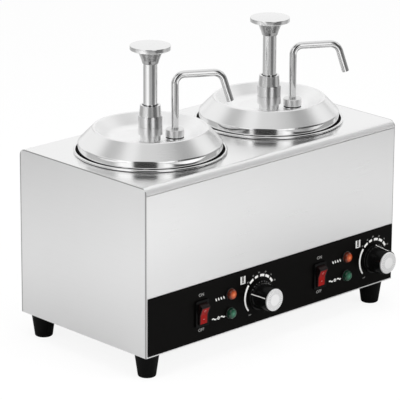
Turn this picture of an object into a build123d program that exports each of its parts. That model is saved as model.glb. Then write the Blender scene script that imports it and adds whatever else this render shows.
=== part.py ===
from build123d import *
import math
import os

# Twin hot topping warmer: a stainless casing on four rubber feet with two heated wells.
# Each well holds a lift-out pot, and each pot has a lid with a plunger pump and a swivel spout.
# Millimetres. +X runs to the right along the front, +Y to the back, +Z up.
# The origin is on the floor, under the middle of the whole object.

# ---- casing ----
CASING_D = 237.0        # front panel face to back panel face; the width follows from the wells
CASING_H = 220.0        # underside of the base tray to the top of the deck
SHEET = 1.0             # stainless sheet of the casing
DECK_BEND_R = 8.5       # outside radius of the bends along the front and back of the deck
DECK_LIP = 9.2          # how far the bent edge reaches below the top of the deck
SEAM = 0.6              # open line between the deck's lip and the panel under it
TRAY_WALL_H = 12.0      # upturned edge of the base tray

# ---- feet ----
FOOT_H = 32.0
FOOT_TOP_R = 16.0
FOOT_BOTTOM_R = 11.5
FOOT_EDGE_R = 2.0
FOOT_INSET = 19.75      # foot centre in from each outside face of the casing
FOOT_BORE_R = 2.6
FOOT_RECESS_R = 5.5     # counterbore for the screw head, open at the floor
FOOT_RECESS_H = 12.0
FOOT_SCREW_R = 2.5
FOOT_SCREW_HEAD_R = 4.5
FOOT_SCREW_HEAD_H = 3.0
FOOT_SCREW_OVER = 6.0   # thread that shows above the base tray

# ---- control fascia ----
FASCIA_T = 0.8
FASCIA_TOP = 77.6       # top edge above the underside of the casing
FASCIA_BOTTOM = 1.8     # bottom edge above the underside of the casing
FASCIA_LEFT = 3.0       # bright strip left between the casing's left side and the fascia
FASCIA_RIGHT = 1.2

# ---- pots and wells ----
POT_R = 88.0            # outside radius of the pot wall
POT_SHEET = 0.9
POT_DEPTH = 118.0       # deck top to the underside of the pot
POT_CORNER_R = 12.0
POT_SEAT_GAP = 0.3      # pot rim above the deck
POT_NECK_R = 1.5        # bend from the pot wall to its rim
RIM_W = 8.4             # pot wall to the middle of the rolled bead
RIM_BEAD_R = 1.6
DECK_HOLE_GAP = 1.2     # pot wall to the edge of the hole in the deck
WELL_GAP = 3.0          # pot wall to well wall
WELL_FLOOR_GAP = 7.0    # pot underside to well floor
WELL_SHEET = 1.0
WELL_CORNER_R = 9.0
WELL_RIM_W = 8.0        # flange of the well that is welded under the deck

# ---- heating ----
HEATER_T = 6.0
HEATER_INSET = 4.0      # edge of the heater inside the pot wall's radius
HEATER_IN_R = 40.0
INSULATION_GAP = 1.0    # air between well wall and insulation
INSULATION_T = 7.0
WELL_SPACING = 12.0     # between the insulation of the two wells
SIDE_ROOM = 15.5        # insulation to the side panel

# ---- lid ----
LID_SHEET = 1.0
LID_OVERHANG = 4.3      # lid's upright band outside the pot wall
LID_SEAT_GAP = 0.3      # lid band above the pot's rim
LID_BAND_TOP = 12.0     # top of the upright band above the deck
LID_RIDGE_PART = 0.7855 # corner of the raised ring, as a part of the lid's radius
LID_RIDGE_H = 32.4
LID_RIDGE_ROUND = 3.0
LID_BAND_ROUND = 2.5
LID_FLOOR_PART = 0.5634 # corner between the dished side and the flat middle, likewise
LID_FLOOR_H = 14.5      # flat middle above the deck
LID_SKIRT_PLAY = 1.1    # inside of the pot wall to the ring under the lid
LID_SKIRT_DROP = 5.0    # reach of that ring below the deck

# ---- pump, heights above the deck ----
SPOUT_ANGLE = -30.0     # direction of riser and spout about the pump axis, from +X
RISER_ROOM = 4.5        # lock ring to the riser's collar
BARREL_R = 12.0
BARREL_BORE_R = 10.8
BARREL_TOP = 44.0
BARREL_COLLAR_R = 15.5
BARREL_COLLAR_T = 2.0
HOLE_PLAY = 0.25        # play round the tubes that pass the lid's floor
LOCK_BASE_R = 13.0
LOCK_BASE_TOP = 22.0
LOCK_R = 15.5
LOCK_TOP = 32.6
CAP_GROOVE_R = 14.6
CAP_GROOVE_H = 0.8
CAP_LOW_TOP = 46.5
CAP_MID_R = 14.3
CAP_TOP_R = 13.1
CAP_TOP = 60.5
CAP_MOUTH_R = 10.4
CAP_MOUTH_DEPTH = 3.0
ROD_R = 9.0
ROD_TOP = 114.3
ROD_SPIGOT_R = 4.0
ROD_SPIGOT_L = 9.0
RUNNING_FIT = 0.06      # radial clearance of every piece that slides or turns in a bore
PISTON_H = 12.0
PISTON_TOP = 0.0
HEAD_R = 26.0           # round head that the hand presses
HEAD_TOP = 138.0
HEAD_T = 5.6
HEAD_CHAMFER = 1.8
HEAD_CHAMFER_W = 3.5
HEAD_ROUND = 0.8
FLARE_R = 13.8
PUMP_FOOT_GAP = 12.0    # valve block above the underside of the pot
VALVE_H = 16.0
VALVE_R = 14.0
VALVE_ARM_R = 8.0
VALVE_CAGE_R = 7.5
VALVE_SEAT_R = 4.5
VALVE_SEAT_T = 2.5
VALVE_PASSAGE_R = 2.4
VALVE_PASSAGE_RISE = 1.0    # passage above the floor of the inlet cage
OUTLET_CAGE_R = 4.4
OUTLET_CAGE_H = 6.0
OUTLET_SEAT_R = 2.4
INLET_BALL_R = 6.0
OUTLET_BALL_R = 3.3
BALL_LIFT = 0.05        # ball above the edge of its seat
SPRING_WIRE_R = 0.8
SPRING_R = 8.5          # middle of the wire
SPRING_TURNS = 8

# ---- spout ----
TUBE_R = 4.75
TUBE_BORE_R = 3.7
RISER_COLLAR_R = 12.0
RISER_COLLAR_T = 1.1
RISER_COLLAR_GAP = 0.5  # collar to the start of the lid's dished side
SEAL_R = 11.6
SEAL_T = 1.6
SEAL_GAP = 0.3          # spout tube above its seal
SPOUT_NUT_R = 12.0
SPOUT_NUT_H = 9.8
SPOUT_NUT_CHAMFER = 0.8
SPOUT_RUN_H = 97.4      # height of the level run of the spout
SPOUT_RUN = 60.0
SPOUT_TIP_OUT = 12.0
SPOUT_TIP_DROP = 38.0
SPOUT_BEND_R = 12.0
SPOUT_TIP_BEND_R = 14.0

# ---- controls; places are from the pot centre and from the underside of the casing ----
KNOB_X = 79.75
KNOB_Z = 37.5
KNOB_OUT = 29.0         # front of the knob in front of the front panel
KNOB_GAP = 0.3
KNOB_SKIRT_R = 20.0
KNOB_SKIRT_T = 3.0
KNOB_SKIRT_TAPER = 0.5
KNOB_BASE_R = 18.0
KNOB_FRONT_R = 15.8
KNOB_CAP_R = 14.5
KNOB_CAP_SEAT = 1.2
KNOB_CAP_T = 3.6
KNOB_CAP_ROUND = 1.2
POINTER_W = 1.3
POINTER_OUT = 0.4
POINTER_ROOT = 2.0
POINTER_SINK = 1.0      # foot of the pointer rib sunk into the skirt
POINTER_LAP = 0.3       # pointer rib beside the cap
STEM_R = 3.0
STEM_L = 22.0
STEM_END_GAP = 1.0
STEM_HOLE_R = 4.0
POINTER_AT = {"left": -72.0, "right": 5.0}   # clockwise from straight up, seen from the front
THERMOSTAT_W = 38.0
THERMOSTAT_D = 24.0
SWITCH_X = -23.0
SWITCH_Z = 38.0
SWITCH_BEZEL_W = 22.0
SWITCH_BEZEL_H = 35.0
SWITCH_BEZEL_T = 2.5
SWITCH_BEZEL_ROUND = 2.0
SWITCH_BODY_W = 19.0
SWITCH_BODY_H = 31.0
SWITCH_BODY_D = 24.0
SWITCH_CUTOUT_GAP = 0.2
ROCKER_R = 14.0
ROCKER_W = 14.0
ROCKER_GAP = 0.35
ROCKER_PIVOT_IN = 3.0   # pivot behind the front of the bezel
ROCKER_FACE = 7.6       # ends of the pressed face in front of the pivot
ROCKER_DISH = 2.0       # how much lower the middle of the face is
ROCKER_BACK = 8.0
ROCKER_TILT = 12.0      # at rest the lower end is pressed in
ROCKER_PIN_R = 1.5
ROCKER_PIN_L = 1.6
ROCKER_CAVITY = 12.5
LAMP_X = 28.0
LAMP_HEAT_Z = 51.2
LAMP_POWER_Z = 25.6
LAMP_BEZEL_R = 7.8
LAMP_BEZEL_T = 1.4
LAMP_BODY_R = 6.9
LAMP_BODY_D = 24.0
LAMP_LENS_R = 6.2
LAMP_LENS_OUT = 7.0
LAMP_LENS_IN = 5.0
LAMP_LENS_ROUND = 4.5
LAMP_HOLE_GAP = 0.1

# ---- back ----
GLAND_OUT = 4.0
GLAND_R = 11.0
GLAND_NECK_R = 8.0
GLAND_BORE_R = 4.2
GLAND_IN = 10.0
GLAND_NUT_R = 12.0
GLAND_NUT_T = 5.0
GLAND_INSET = 62.5      # gland's middle in from the right side of the casing
GLAND_Z = 32.0          # above the underside of the casing
SCREW_R = 2.0
SCREW_HEAD_R = 3.6
SCREW_HEAD_H = 2.0
SCREW_L = 7.0
SCREW_INSET = 14.0
SLOT_L = 44.0
SLOT_W = 4.0
SLOT_PITCH = 11.0
SLOT_ROWS = 5
SLOT_TOP = 92.0         # highest slot above the underside of the casing
TERMINAL_INSET = 60.0   # front of the terminal strip in from the back panel
TERMINAL_W = 64.0
TERMINAL_D = 20.0
TERMINAL_H = 17.0
TERMINAL_WAYS = 5
TERMINAL_WIRE_R = 2.2

# ---- worked out from the sizes above ----
CUT_OVER = 1.0          # how far a cutting block runs past the surface that it cuts
WELL_R = POT_R + WELL_GAP
CUP_BORE_R = WELL_R + WELL_SHEET + INSULATION_GAP
CUP_R = CUP_BORE_R + INSULATION_T
POT_PITCH = 2 * CUP_R + WELL_SPACING
CASING_W = POT_PITCH + 2 * (CUP_R + SIDE_ROOM + SHEET)
RIM_R = POT_R + RIM_W
LID_R = POT_R + LID_OVERHANG
LID_RIDGE_R = LID_RIDGE_PART * LID_R
LID_FLOOR_R = LID_FLOOR_PART * LID_R
LID_SKIRT_R = POT_R - POT_SHEET - LID_SKIRT_PLAY
RISER_OFFSET = LOCK_R + RISER_ROOM + RISER_COLLAR_R
DISH_ANGLE = math.atan2(LID_RIDGE_H - LID_FLOOR_H, LID_RIDGE_R - LID_FLOOR_R)
DISH_FLAT_R = RISER_OFFSET + RISER_COLLAR_R + RISER_COLLAR_GAP
LID_DISH_ROUND = (LID_FLOOR_R - DISH_FLAT_R) / math.tan(DISH_ANGLE / 2)
VALVE_TOP = PUMP_FOOT_GAP + VALVE_H - POT_DEPTH
GLAND_X = CASING_W / 2 - GLAND_INSET
BASE_Z = FOOT_H
DECK_Z = BASE_Z + CASING_H
FRONT_Y = KNOB_OUT - (KNOB_OUT + CASING_D + GLAND_OUT) / 2
BACK_Y = FRONT_Y + CASING_D
MID_Y = (FRONT_Y + BACK_Y) / 2
FASCIA_Y = FRONT_Y - FASCIA_T
INSIDE_X = CASING_W / 2 - SHEET
POT_X = {"left": -POT_PITCH / 2, "right": POT_PITCH / 2}
WELL_FLOOR_Z = DECK_Z - POT_DEPTH - WELL_FLOOR_GAP - WELL_SHEET
HEATER_Z = WELL_FLOOR_Z - HEATER_T
RIM_TOP = POT_SEAT_GAP + POT_SHEET
PISTON_FOOT = PISTON_TOP - PISTON_H
STANDING = (Align.CENTER, Align.CENTER, Align.MIN)


# ---- helpers ----
def post(radius, low, high):
    """Upright round bar on the Z axis."""
    return Pos(0, 0, low) * Cylinder(radius, high - low, align=STANDING)


def tube(radius, bore, low, high):
    """Upright round tube on the Z axis."""
    return post(radius, low, high) - post(bore, low, high)


def block(x0, x1, y0, y1, z0, z1):
    """Box between two corners."""
    return Pos(x0, y0, z0) * Box(x1 - x0, y1 - y0, z1 - z0, align=(Align.MIN,) * 3)


def turned(*corners):
    """Solid turned about Z from (radius, height) corners."""
    return revolve(Plane.XZ * make_face(Polyline(*corners, close=True)), Axis.Z)


def pressed(corners, radii, sheet, side):
    """Round sheet pressing: a (radius, height) line given a thickness and turned about Z."""
    line = FilletPolyline(*corners, radius=radii)
    return revolve(Plane.XZ * make_face(offset(line, amount=sheet, side=side)), Axis.Z)


def over_pot(side, shape):
    """Move a shape whose heights are above the deck to its pot."""
    return Pos(POT_X[side], MID_Y, DECK_Z) * shape


def on_pump(side, shape):
    """The same, with the shape's +X turned to the spout's direction."""
    return over_pot(side, Rot(0, 0, SPOUT_ANGLE) * shape)


def on_fascia(side, x, z, shape):
    """Place a shape built along +Z so that it stands out of the fascia."""
    return Pos(POT_X[side] + x, FASCIA_Y, BASE_Z + z) * Rot(90, 0, 0) * shape


def through_front(side, x, z, radius):
    """Drill for a round hole through fascia and front panel."""
    return on_fascia(side, x, z, post(radius, -2 * (SHEET + FASCIA_T), FASCIA_T))


def foot_places():
    """Centres of the four feet."""
    x = CASING_W / 2 - FOOT_INSET
    return [(sx * x, y) for sx in (-1, 1) for y in (FRONT_Y + FOOT_INSET, BACK_Y - FOOT_INSET)]


# ---- casing ----
def deck_section(depth, radius):
    """Side view of the casing with its two rounded top corners, as a sketch on the YZ plane."""
    outline = Pos(MID_Y, BASE_Z) * Rectangle(depth, CASING_H, align=(Align.CENTER, Align.MIN))
    top = outline.vertices().group_by(Axis.Y)[-1]
    return fillet(top, radius)


def top_deck():
    """Top sheet, bent down over the front and the back, with a hole for each pot."""
    outer = extrude(Plane.YZ * deck_section(CASING_D, DECK_BEND_R), INSIDE_X, both=True)
    inner_face = Plane.YZ * Pos(0, -SHEET) * deck_section(CASING_D - 2 * SHEET, DECK_BEND_R - SHEET)
    inner = extrude(inner_face, CASING_W, both=True)
    lip = block(-CASING_W, CASING_W, FRONT_Y - CUT_OVER, BACK_Y + CUT_OVER, DECK_Z - DECK_LIP, DECK_Z)
    sheet = (outer - inner) & lip
    for side in POT_X:
        sheet -= over_pot(side, post(POT_R + DECK_HOLE_GAP, -2 * SHEET, SHEET))
    return sheet


def side_panel(sign):
    """Flat side panel whose top corners follow the bends of the deck."""
    panel = extrude(Plane.YZ * deck_section(CASING_D, DECK_BEND_R), SHEET)
    return Pos(INSIDE_X if sign > 0 else -INSIDE_X - SHEET, 0, 0) * panel


def panel_top():
    return DECK_Z - DECK_LIP - SEAM


def switch_cutout(side):
    """Opening through fascia and front panel for a switch body."""
    w = SWITCH_BODY_W / 2 + SWITCH_CUTOUT_GAP
    h = SWITCH_BODY_H / 2 + SWITCH_CUTOUT_GAP
    x = POT_X[side] + SWITCH_X
    z = BASE_Z + SWITCH_Z
    return block(x - w, x + w, FASCIA_Y - CUT_OVER, FRONT_Y + SHEET + CUT_OVER, z - h, z + h)


def front_cuts():
    """Everything that passes the front panel and the fascia."""
    cuts = []
    for side in POT_X:
        cuts.append(through_front(side, KNOB_X, KNOB_Z, STEM_HOLE_R))
        for z in (LAMP_HEAT_Z, LAMP_POWER_Z):
            cuts.append(through_front(side, LAMP_X, z, LAMP_BODY_R + LAMP_HOLE_GAP))
        cuts.append(switch_cutout(side))
    return cuts


def front_panel():
    panel = block(-INSIDE_X, INSIDE_X, FRONT_Y, FRONT_Y + SHEET, BASE_Z, panel_top())
    for cut in front_cuts():
        panel -= cut
    return panel


def control_fascia():
    """Black strip over the lower front."""
    left = -CASING_W / 2 + FASCIA_LEFT
    right = CASING_W / 2 - FASCIA_RIGHT
    strip = block(left, right, FASCIA_Y, FRONT_Y, BASE_Z + FASCIA_BOTTOM, BASE_Z + FASCIA_TOP)
    for cut in front_cuts():
        strip -= cut
    return strip


def slot_places():
    """Centres of the vent slots, two columns."""
    xs = [-CASING_W / 4, CASING_W / 4]
    return [(x, BASE_Z + SLOT_TOP - row * SLOT_PITCH) for x in xs for row in range(SLOT_ROWS)]


def screw_places():
    """Centres of the screws in the back panel."""
    x = INSIDE_X - SCREW_INSET
    heights = (BASE_Z + SCREW_INSET, panel_top() - SCREW_INSET)
    return [(sx * x, z) for sx in (-1, 0, 1) for z in heights]


def through_back(x, z, shape):
    """Place a shape built along +Z so that it stands out of the back panel."""
    return Pos(x, BACK_Y, z) * Rot(-90, 0, 0) * shape


def back_panel():
    panel = block(-INSIDE_X, INSIDE_X, BACK_Y - SHEET, BACK_Y, BASE_Z, panel_top())
    for x, z in slot_places():
        panel -= through_back(x, z, Pos(0, 0, -SHEET) * extrude(SlotOverall(SLOT_L, SLOT_W), SHEET))
    for x, z in screw_places():
        panel -= through_back(x, z, post(SCREW_R, -SHEET, 0))
    return panel - through_back(GLAND_X, BASE_Z + GLAND_Z, post(GLAND_NECK_R, -SHEET, 0))


def base_tray():
    """Bottom plate with upturned edges that sit inside the panels."""
    front, back = FRONT_Y + SHEET, BACK_Y - SHEET
    tray = block(-INSIDE_X, INSIDE_X, front, back, BASE_Z, BASE_Z + TRAY_WALL_H)
    inner = block(-INSIDE_X + SHEET, INSIDE_X - SHEET, front + SHEET, back - SHEET,
                  BASE_Z + SHEET, BASE_Z + TRAY_WALL_H)
    tray -= inner
    for x, y in foot_places():
        tray -= Pos(x, y, 0) * post(FOOT_SCREW_R, BASE_Z, BASE_Z + SHEET)
    return tray - screw_bores()


def screw_bores():
    """Holes that the lower back screws need in the tray's edge."""
    bores = [through_back(x, z, post(SCREW_R, -SCREW_L, 0)) for x, z in screw_places()]
    return Compound(children=bores)


def rubber_feet():
    """Four tapered feet, each with a stepped bore for its screw."""
    foot = turned((0, 0), (FOOT_BOTTOM_R, 0), (FOOT_TOP_R, FOOT_H), (0, FOOT_H))
    foot = fillet(foot.edges().filter_by(GeomType.CIRCLE).sort_by(Axis.Z)[0], FOOT_EDGE_R)
    foot -= post(FOOT_BORE_R, 0, FOOT_H) + post(FOOT_RECESS_R, 0, FOOT_RECESS_H)
    return [Pos(x, y, 0) * foot for x, y in foot_places()]


def foot_screws():
    head = post(FOOT_SCREW_HEAD_R, FOOT_RECESS_H - FOOT_SCREW_HEAD_H, FOOT_RECESS_H)
    screw = head + post(FOOT_SCREW_R, FOOT_RECESS_H, BASE_Z + SHEET + FOOT_SCREW_OVER)
    return [Pos(x, y, 0) * screw for x, y in foot_places()]


def casing_screws():
    """Pan-head screws that hold the back panel."""
    head = post(SCREW_HEAD_R, 0, SCREW_HEAD_H)
    head = fillet(head.edges().sort_by(Axis.Z)[-1], SCREW_HEAD_H / 2)
    screw = head + post(SCREW_R, -SCREW_L, 0)
    return [through_back(x, z, screw) for x, z in screw_places()]


def cord_gland():
    """Gland with an empty bore for the supply cord, and its nut inside the back panel."""
    flange = post(GLAND_R, 0, GLAND_OUT)
    flange = chamfer(flange.edges().sort_by(Axis.Z)[-1], GLAND_OUT / 3)
    nut = post(GLAND_NUT_R, -SHEET - GLAND_NUT_T, -SHEET)
    gland = flange + post(GLAND_NECK_R, -GLAND_IN, 0) + nut - post(GLAND_BORE_R, -GLAND_IN, GLAND_OUT)
    return through_back(GLAND_X, BASE_Z + GLAND_Z, gland)


def terminal_block():
    """Screw terminal strip on the base tray behind the gland."""
    x = GLAND_X - TERMINAL_W
    y = BACK_Y - SHEET - TERMINAL_INSET
    low = BASE_Z + SHEET
    body = block(x, x + TERMINAL_W, y, y + TERMINAL_D, low, low + TERMINAL_H)
    step = TERMINAL_W / TERMINAL_WAYS
    for way in range(TERMINAL_WAYS):
        bore = Pos(x + step * (way + 0.5), y, low + TERMINAL_H / 2) * Rot(-90, 0, 0)
        body -= bore * post(TERMINAL_WIRE_R, 0, TERMINAL_D)
    return body


# ---- wells and pots ----
def well(side):
    """Deep tank under the deck; its flange is welded to the underside of the deck."""
    outer = WELL_R + WELL_SHEET
    flange = -SHEET - WELL_SHEET
    low = WELL_FLOOR_Z - DECK_Z
    line = [(0, low), (outer, low), (outer, flange), (outer + WELL_RIM_W, flange)]
    return over_pot(side, pressed(line, [WELL_CORNER_R, WELL_SHEET], WELL_SHEET, Side.LEFT))


def heater_plates():
    """Ring heaters clamped under the two wells."""
    low = HEATER_Z - DECK_Z
    ring = tube(POT_R - HEATER_INSET, HEATER_IN_R, low, low + HEATER_T)
    return [over_pot(side, ring) for side in POT_X]


def well_insulation():
    """Insulation cups round the wells and under the heaters."""
    low = HEATER_Z - DECK_Z - INSULATION_T
    high = -SHEET - WELL_SHEET
    cup = post(CUP_R, low, high) - post(CUP_BORE_R, low + INSULATION_T, high)
    return [over_pot(side, cup) for side in POT_X]


def pot(side):
    """Lift-out pot with a rolled bead round its rim."""
    line = [(0, -POT_DEPTH), (POT_R, -POT_DEPTH), (POT_R, POT_SEAT_GAP), (RIM_R, POT_SEAT_GAP)]
    body = pressed(line, [POT_CORNER_R, POT_NECK_R], POT_SHEET, Side.LEFT)
    bead = Pos(0, 0, POT_SEAT_GAP + RIM_BEAD_R) * Torus(RIM_R, RIM_BEAD_R)
    return over_pot(side, body + bead)


def lid(side):
    """Lid with an upright band, a raised ring and a dished middle that carries the pump."""
    line = [(0, LID_FLOOR_H), (LID_FLOOR_R, LID_FLOOR_H), (LID_RIDGE_R, LID_RIDGE_H),
            (LID_R, LID_BAND_TOP), (LID_R, RIM_TOP + LID_SEAT_GAP)]
    radii = [LID_DISH_ROUND, LID_RIDGE_ROUND, LID_BAND_ROUND]
    shell = pressed(line, radii, LID_SHEET, Side.RIGHT)
    slope = (LID_RIDGE_H - LID_BAND_TOP) / (LID_R - LID_RIDGE_R)
    skirt_mid = LID_SKIRT_R - LID_SHEET / 2
    skirt_top = LID_BAND_TOP + slope * (LID_R - skirt_mid) - LID_SHEET
    skirt = tube(LID_SKIRT_R, LID_SKIRT_R - LID_SHEET, -LID_SKIRT_DROP, skirt_top)
    shell += skirt
    shell -= post(BARREL_R + HOLE_PLAY, LID_FLOOR_H - 2 * LID_SHEET, LID_FLOOR_H + LID_SHEET)
    riser_hole = post(TUBE_R + HOLE_PLAY, LID_FLOOR_H - 2 * LID_SHEET, LID_FLOOR_H + LID_SHEET)
    return on_pump(side, shell - Pos(RISER_OFFSET, 0, 0) * riser_hole)


# ---- pump ----
def pump_barrel(side):
    """Cylinder of the pump; its collar stops under the floor of the lid."""
    under = LID_FLOOR_H - LID_SHEET
    body = post(BARREL_R, VALVE_TOP, BARREL_TOP) + post(BARREL_COLLAR_R, under - BARREL_COLLAR_T, under)
    return on_pump(side, body - post(BARREL_BORE_R, VALVE_TOP, BARREL_TOP))


def pump_lock_ring(side):
    """Ring screwed on the barrel from above, which clamps the pump to the lid."""
    body = turned((BARREL_R, LID_FLOOR_H), (LOCK_BASE_R, LID_FLOOR_H), (LOCK_BASE_R, LOCK_BASE_TOP),
                  (LOCK_R, LOCK_BASE_TOP), (LOCK_R, LOCK_TOP), (BARREL_R, LOCK_TOP))
    return on_pump(side, body)


def pump_cap_nut(side):
    """Cap of the pump, which guides the rod."""
    guide = ROD_R + RUNNING_FIT
    mouth = CAP_TOP - CAP_MOUTH_DEPTH
    groove = LOCK_TOP + CAP_GROOVE_H
    body = turned((BARREL_R, LOCK_TOP), (CAP_GROOVE_R, LOCK_TOP), (CAP_GROOVE_R, groove), (LOCK_R, groove),
                  (LOCK_R, CAP_LOW_TOP), (CAP_MID_R, CAP_LOW_TOP), (CAP_TOP_R, CAP_TOP),
                  (CAP_MOUTH_R, CAP_TOP), (CAP_MOUTH_R, mouth), (guide, mouth), (guide, BARREL_TOP),
                  (BARREL_R, BARREL_TOP))
    return on_pump(side, body)


def valve_block(side):
    """Foot of the pump: an inlet valve under the barrel and a passage to the riser."""
    low = VALVE_TOP - VALVE_H
    cage = low + VALVE_SEAT_T
    outlet = VALVE_TOP - OUTLET_CAGE_H
    passage_z = cage + VALVE_PASSAGE_R + VALVE_PASSAGE_RISE
    body = post(VALVE_R, low, VALVE_TOP) + Pos(RISER_OFFSET, 0, 0) * post(VALVE_ARM_R, low, VALVE_TOP)
    body += block(0, RISER_OFFSET, -VALVE_ARM_R, VALVE_ARM_R, low, VALVE_TOP)
    body -= post(VALVE_CAGE_R, cage, VALVE_TOP) + post(VALVE_SEAT_R, low, cage)
    body -= Pos(RISER_OFFSET, 0, 0) * post(OUTLET_CAGE_R, outlet, VALVE_TOP)
    body -= Pos(RISER_OFFSET, 0, 0) * post(OUTLET_SEAT_R, passage_z, outlet)
    body -= Pos(0, 0, passage_z) * Rot(0, 90, 0) * post(VALVE_PASSAGE_R, 0, RISER_OFFSET)
    return on_pump(side, body)


def seated_ball(radius, seat_radius, seat_height):
    """Ball that rests on the edge of a round seat."""
    rise = math.sqrt(radius ** 2 - seat_radius ** 2)
    return Pos(0, 0, seat_height + rise + BALL_LIFT) * Sphere(radius)


def valve_balls(side):
    """Inlet ball and outlet ball, loose in their cages."""
    inlet = seated_ball(INLET_BALL_R, VALVE_SEAT_R, VALVE_TOP - VALVE_H + VALVE_SEAT_T)
    outlet = seated_ball(OUTLET_BALL_R, OUTLET_SEAT_R, VALVE_TOP - OUTLET_CAGE_H)
    return [on_pump(side, inlet), on_pump(side, Pos(RISER_OFFSET, 0, 0) * outlet)]


def riser_tube(side):
    """Tube from the valve block up through the lid, with a collar on the lid's floor."""
    top = LID_FLOOR_H + RISER_COLLAR_T
    body = post(TUBE_R, VALVE_TOP, top) + post(RISER_COLLAR_R, LID_FLOOR_H, top)
    body -= post(TUBE_BORE_R, VALVE_TOP, top)
    return on_pump(side, Pos(RISER_OFFSET, 0, 0) * body)


def seal_base():
    return LID_FLOOR_H + RISER_COLLAR_T


def spout_seal(side):
    ring = tube(SEAL_R, TUBE_BORE_R, seal_base(), seal_base() + SEAL_T)
    return on_pump(side, Pos(RISER_OFFSET, 0, 0) * ring)


def spout_nut(side):
    """Nut that clamps the seal and guides the foot of the spout."""
    low = seal_base() + SEAL_T
    nut = post(SPOUT_NUT_R, low, low + SPOUT_NUT_H)
    nut = chamfer(nut.edges().sort_by(Axis.Z)[-1], SPOUT_NUT_CHAMFER)
    nut -= post(TUBE_R + RUNNING_FIT, low, low + SPOUT_NUT_H)
    return on_pump(side, Pos(RISER_OFFSET, 0, 0) * nut)


def spout_tube(side):
    """Bent outlet tube: up, level and then down to its mouth."""
    foot = seal_base() + SEAL_T + SEAL_GAP
    end = RISER_OFFSET + SPOUT_RUN
    path = FilletPolyline((RISER_OFFSET, 0, foot), (RISER_OFFSET, 0, SPOUT_RUN_H), (end, 0, SPOUT_RUN_H),
                          (end + SPOUT_TIP_OUT, 0, SPOUT_RUN_H - SPOUT_TIP_DROP),
                          radius=[SPOUT_BEND_R, SPOUT_TIP_BEND_R])
    start = Plane(origin=(RISER_OFFSET, 0, foot))
    body = sweep(start * Circle(TUBE_R), path=path) - sweep(start * Circle(TUBE_BORE_R), path=path)
    return on_pump(side, body)


def return_spring(side):
    """Coil under the piston, standing on the valve block."""
    low = VALVE_TOP + SPRING_WIRE_R
    high = PISTON_FOOT - SPRING_WIRE_R
    coil = Helix(pitch=(high - low) / SPRING_TURNS, height=high - low, radius=SPRING_R)
    wire = Plane(origin=coil @ 0, z_dir=coil % 0) * Circle(SPRING_WIRE_R)
    body = Pos(0, 0, low) * sweep(wire, path=coil, is_frenet=True)
    return on_pump(side, body)


def plunger_rod(side):
    """Round rod with a spigot at each end."""
    body = post(ROD_R, PISTON_TOP, ROD_TOP)
    body += post(ROD_SPIGOT_R, PISTON_FOOT, PISTON_TOP) + post(ROD_SPIGOT_R, ROD_TOP, ROD_TOP + ROD_SPIGOT_L)
    return on_pump(side, body)


def piston(side):
    """Piston that slides in the barrel."""
    return on_pump(side, tube(BARREL_BORE_R - RUNNING_FIT, ROD_SPIGOT_R, PISTON_FOOT, PISTON_TOP))


def press_knob(side):
    """Round head with a flared neck, screwed on the top of the rod."""
    under = HEAD_TOP - HEAD_T
    body = turned((0, ROD_TOP), (ROD_R, ROD_TOP), (FLARE_R, under), (HEAD_R - HEAD_CHAMFER_W, under),
                  (HEAD_R, under + HEAD_CHAMFER), (HEAD_R, HEAD_TOP), (0, HEAD_TOP))
    body = fillet(body.edges().sort_by(Axis.Z)[-1], HEAD_ROUND)
    return on_pump(side, body - post(ROD_SPIGOT_R, ROD_TOP, ROD_TOP + ROD_SPIGOT_L))


# ---- controls ----
def thermostat(side):
    """Thermostat body behind the front panel, bored for the knob's stem."""
    x = POT_X[side] + KNOB_X
    z = BASE_Z + KNOB_Z
    half = THERMOSTAT_W / 2
    back = FRONT_Y + SHEET + THERMOSTAT_D
    body = block(x - half, x + half, FRONT_Y + SHEET, back, z - half, z + half)
    bore = post(STEM_R + RUNNING_FIT, -STEM_L - STEM_END_GAP, 0)
    return body - on_fascia(side, KNOB_X, KNOB_Z, bore)


def knob_front():
    """Front of the knob, measured from the fascia."""
    return KNOB_OUT - FASCIA_T


def dial_knob(side):
    """Tapered knob with a skirt, a pointer rib and a stem into the thermostat."""
    seat = knob_front() - KNOB_CAP_T
    lip = seat + KNOB_CAP_SEAT
    skirt = KNOB_GAP + KNOB_SKIRT_T
    body = turned((0, KNOB_GAP), (KNOB_SKIRT_R, KNOB_GAP), (KNOB_SKIRT_R - KNOB_SKIRT_TAPER, skirt),
                  (KNOB_BASE_R, skirt), (KNOB_FRONT_R, lip), (KNOB_CAP_R, lip), (KNOB_CAP_R, seat), (0, seat))
    root = KNOB_FRONT_R - POINTER_ROOT
    foot = skirt - POINTER_SINK
    lap = KNOB_CAP_R + POINTER_LAP
    rib = Polyline((root, foot), (KNOB_BASE_R + POINTER_OUT, foot), (KNOB_FRONT_R + POINTER_OUT, lip),
                   (lap, lip), (lap, seat), (root, seat), close=True)
    body += extrude(Plane.XZ * make_face(rib), POINTER_W / 2, both=True)
    body += post(STEM_R, -STEM_L, KNOB_GAP)
    return on_fascia(side, KNOB_X, KNOB_Z, Rot(0, 0, 90 - POINTER_AT[side]) * body)


def dial_cap(side):
    """Bright disc set in the front of the knob."""
    cap = post(KNOB_CAP_R, knob_front() - KNOB_CAP_T, knob_front())
    cap = fillet(cap.edges().sort_by(Axis.Z)[-1], KNOB_CAP_ROUND)
    return on_fascia(side, KNOB_X, KNOB_Z, cap)


def rocker_pivot(side):
    """Middle of the rocker's pivot."""
    y = FASCIA_Y - SWITCH_BEZEL_T + ROCKER_PIVOT_IN
    return POT_X[side] + SWITCH_X, y, BASE_Z + SWITCH_Z


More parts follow.
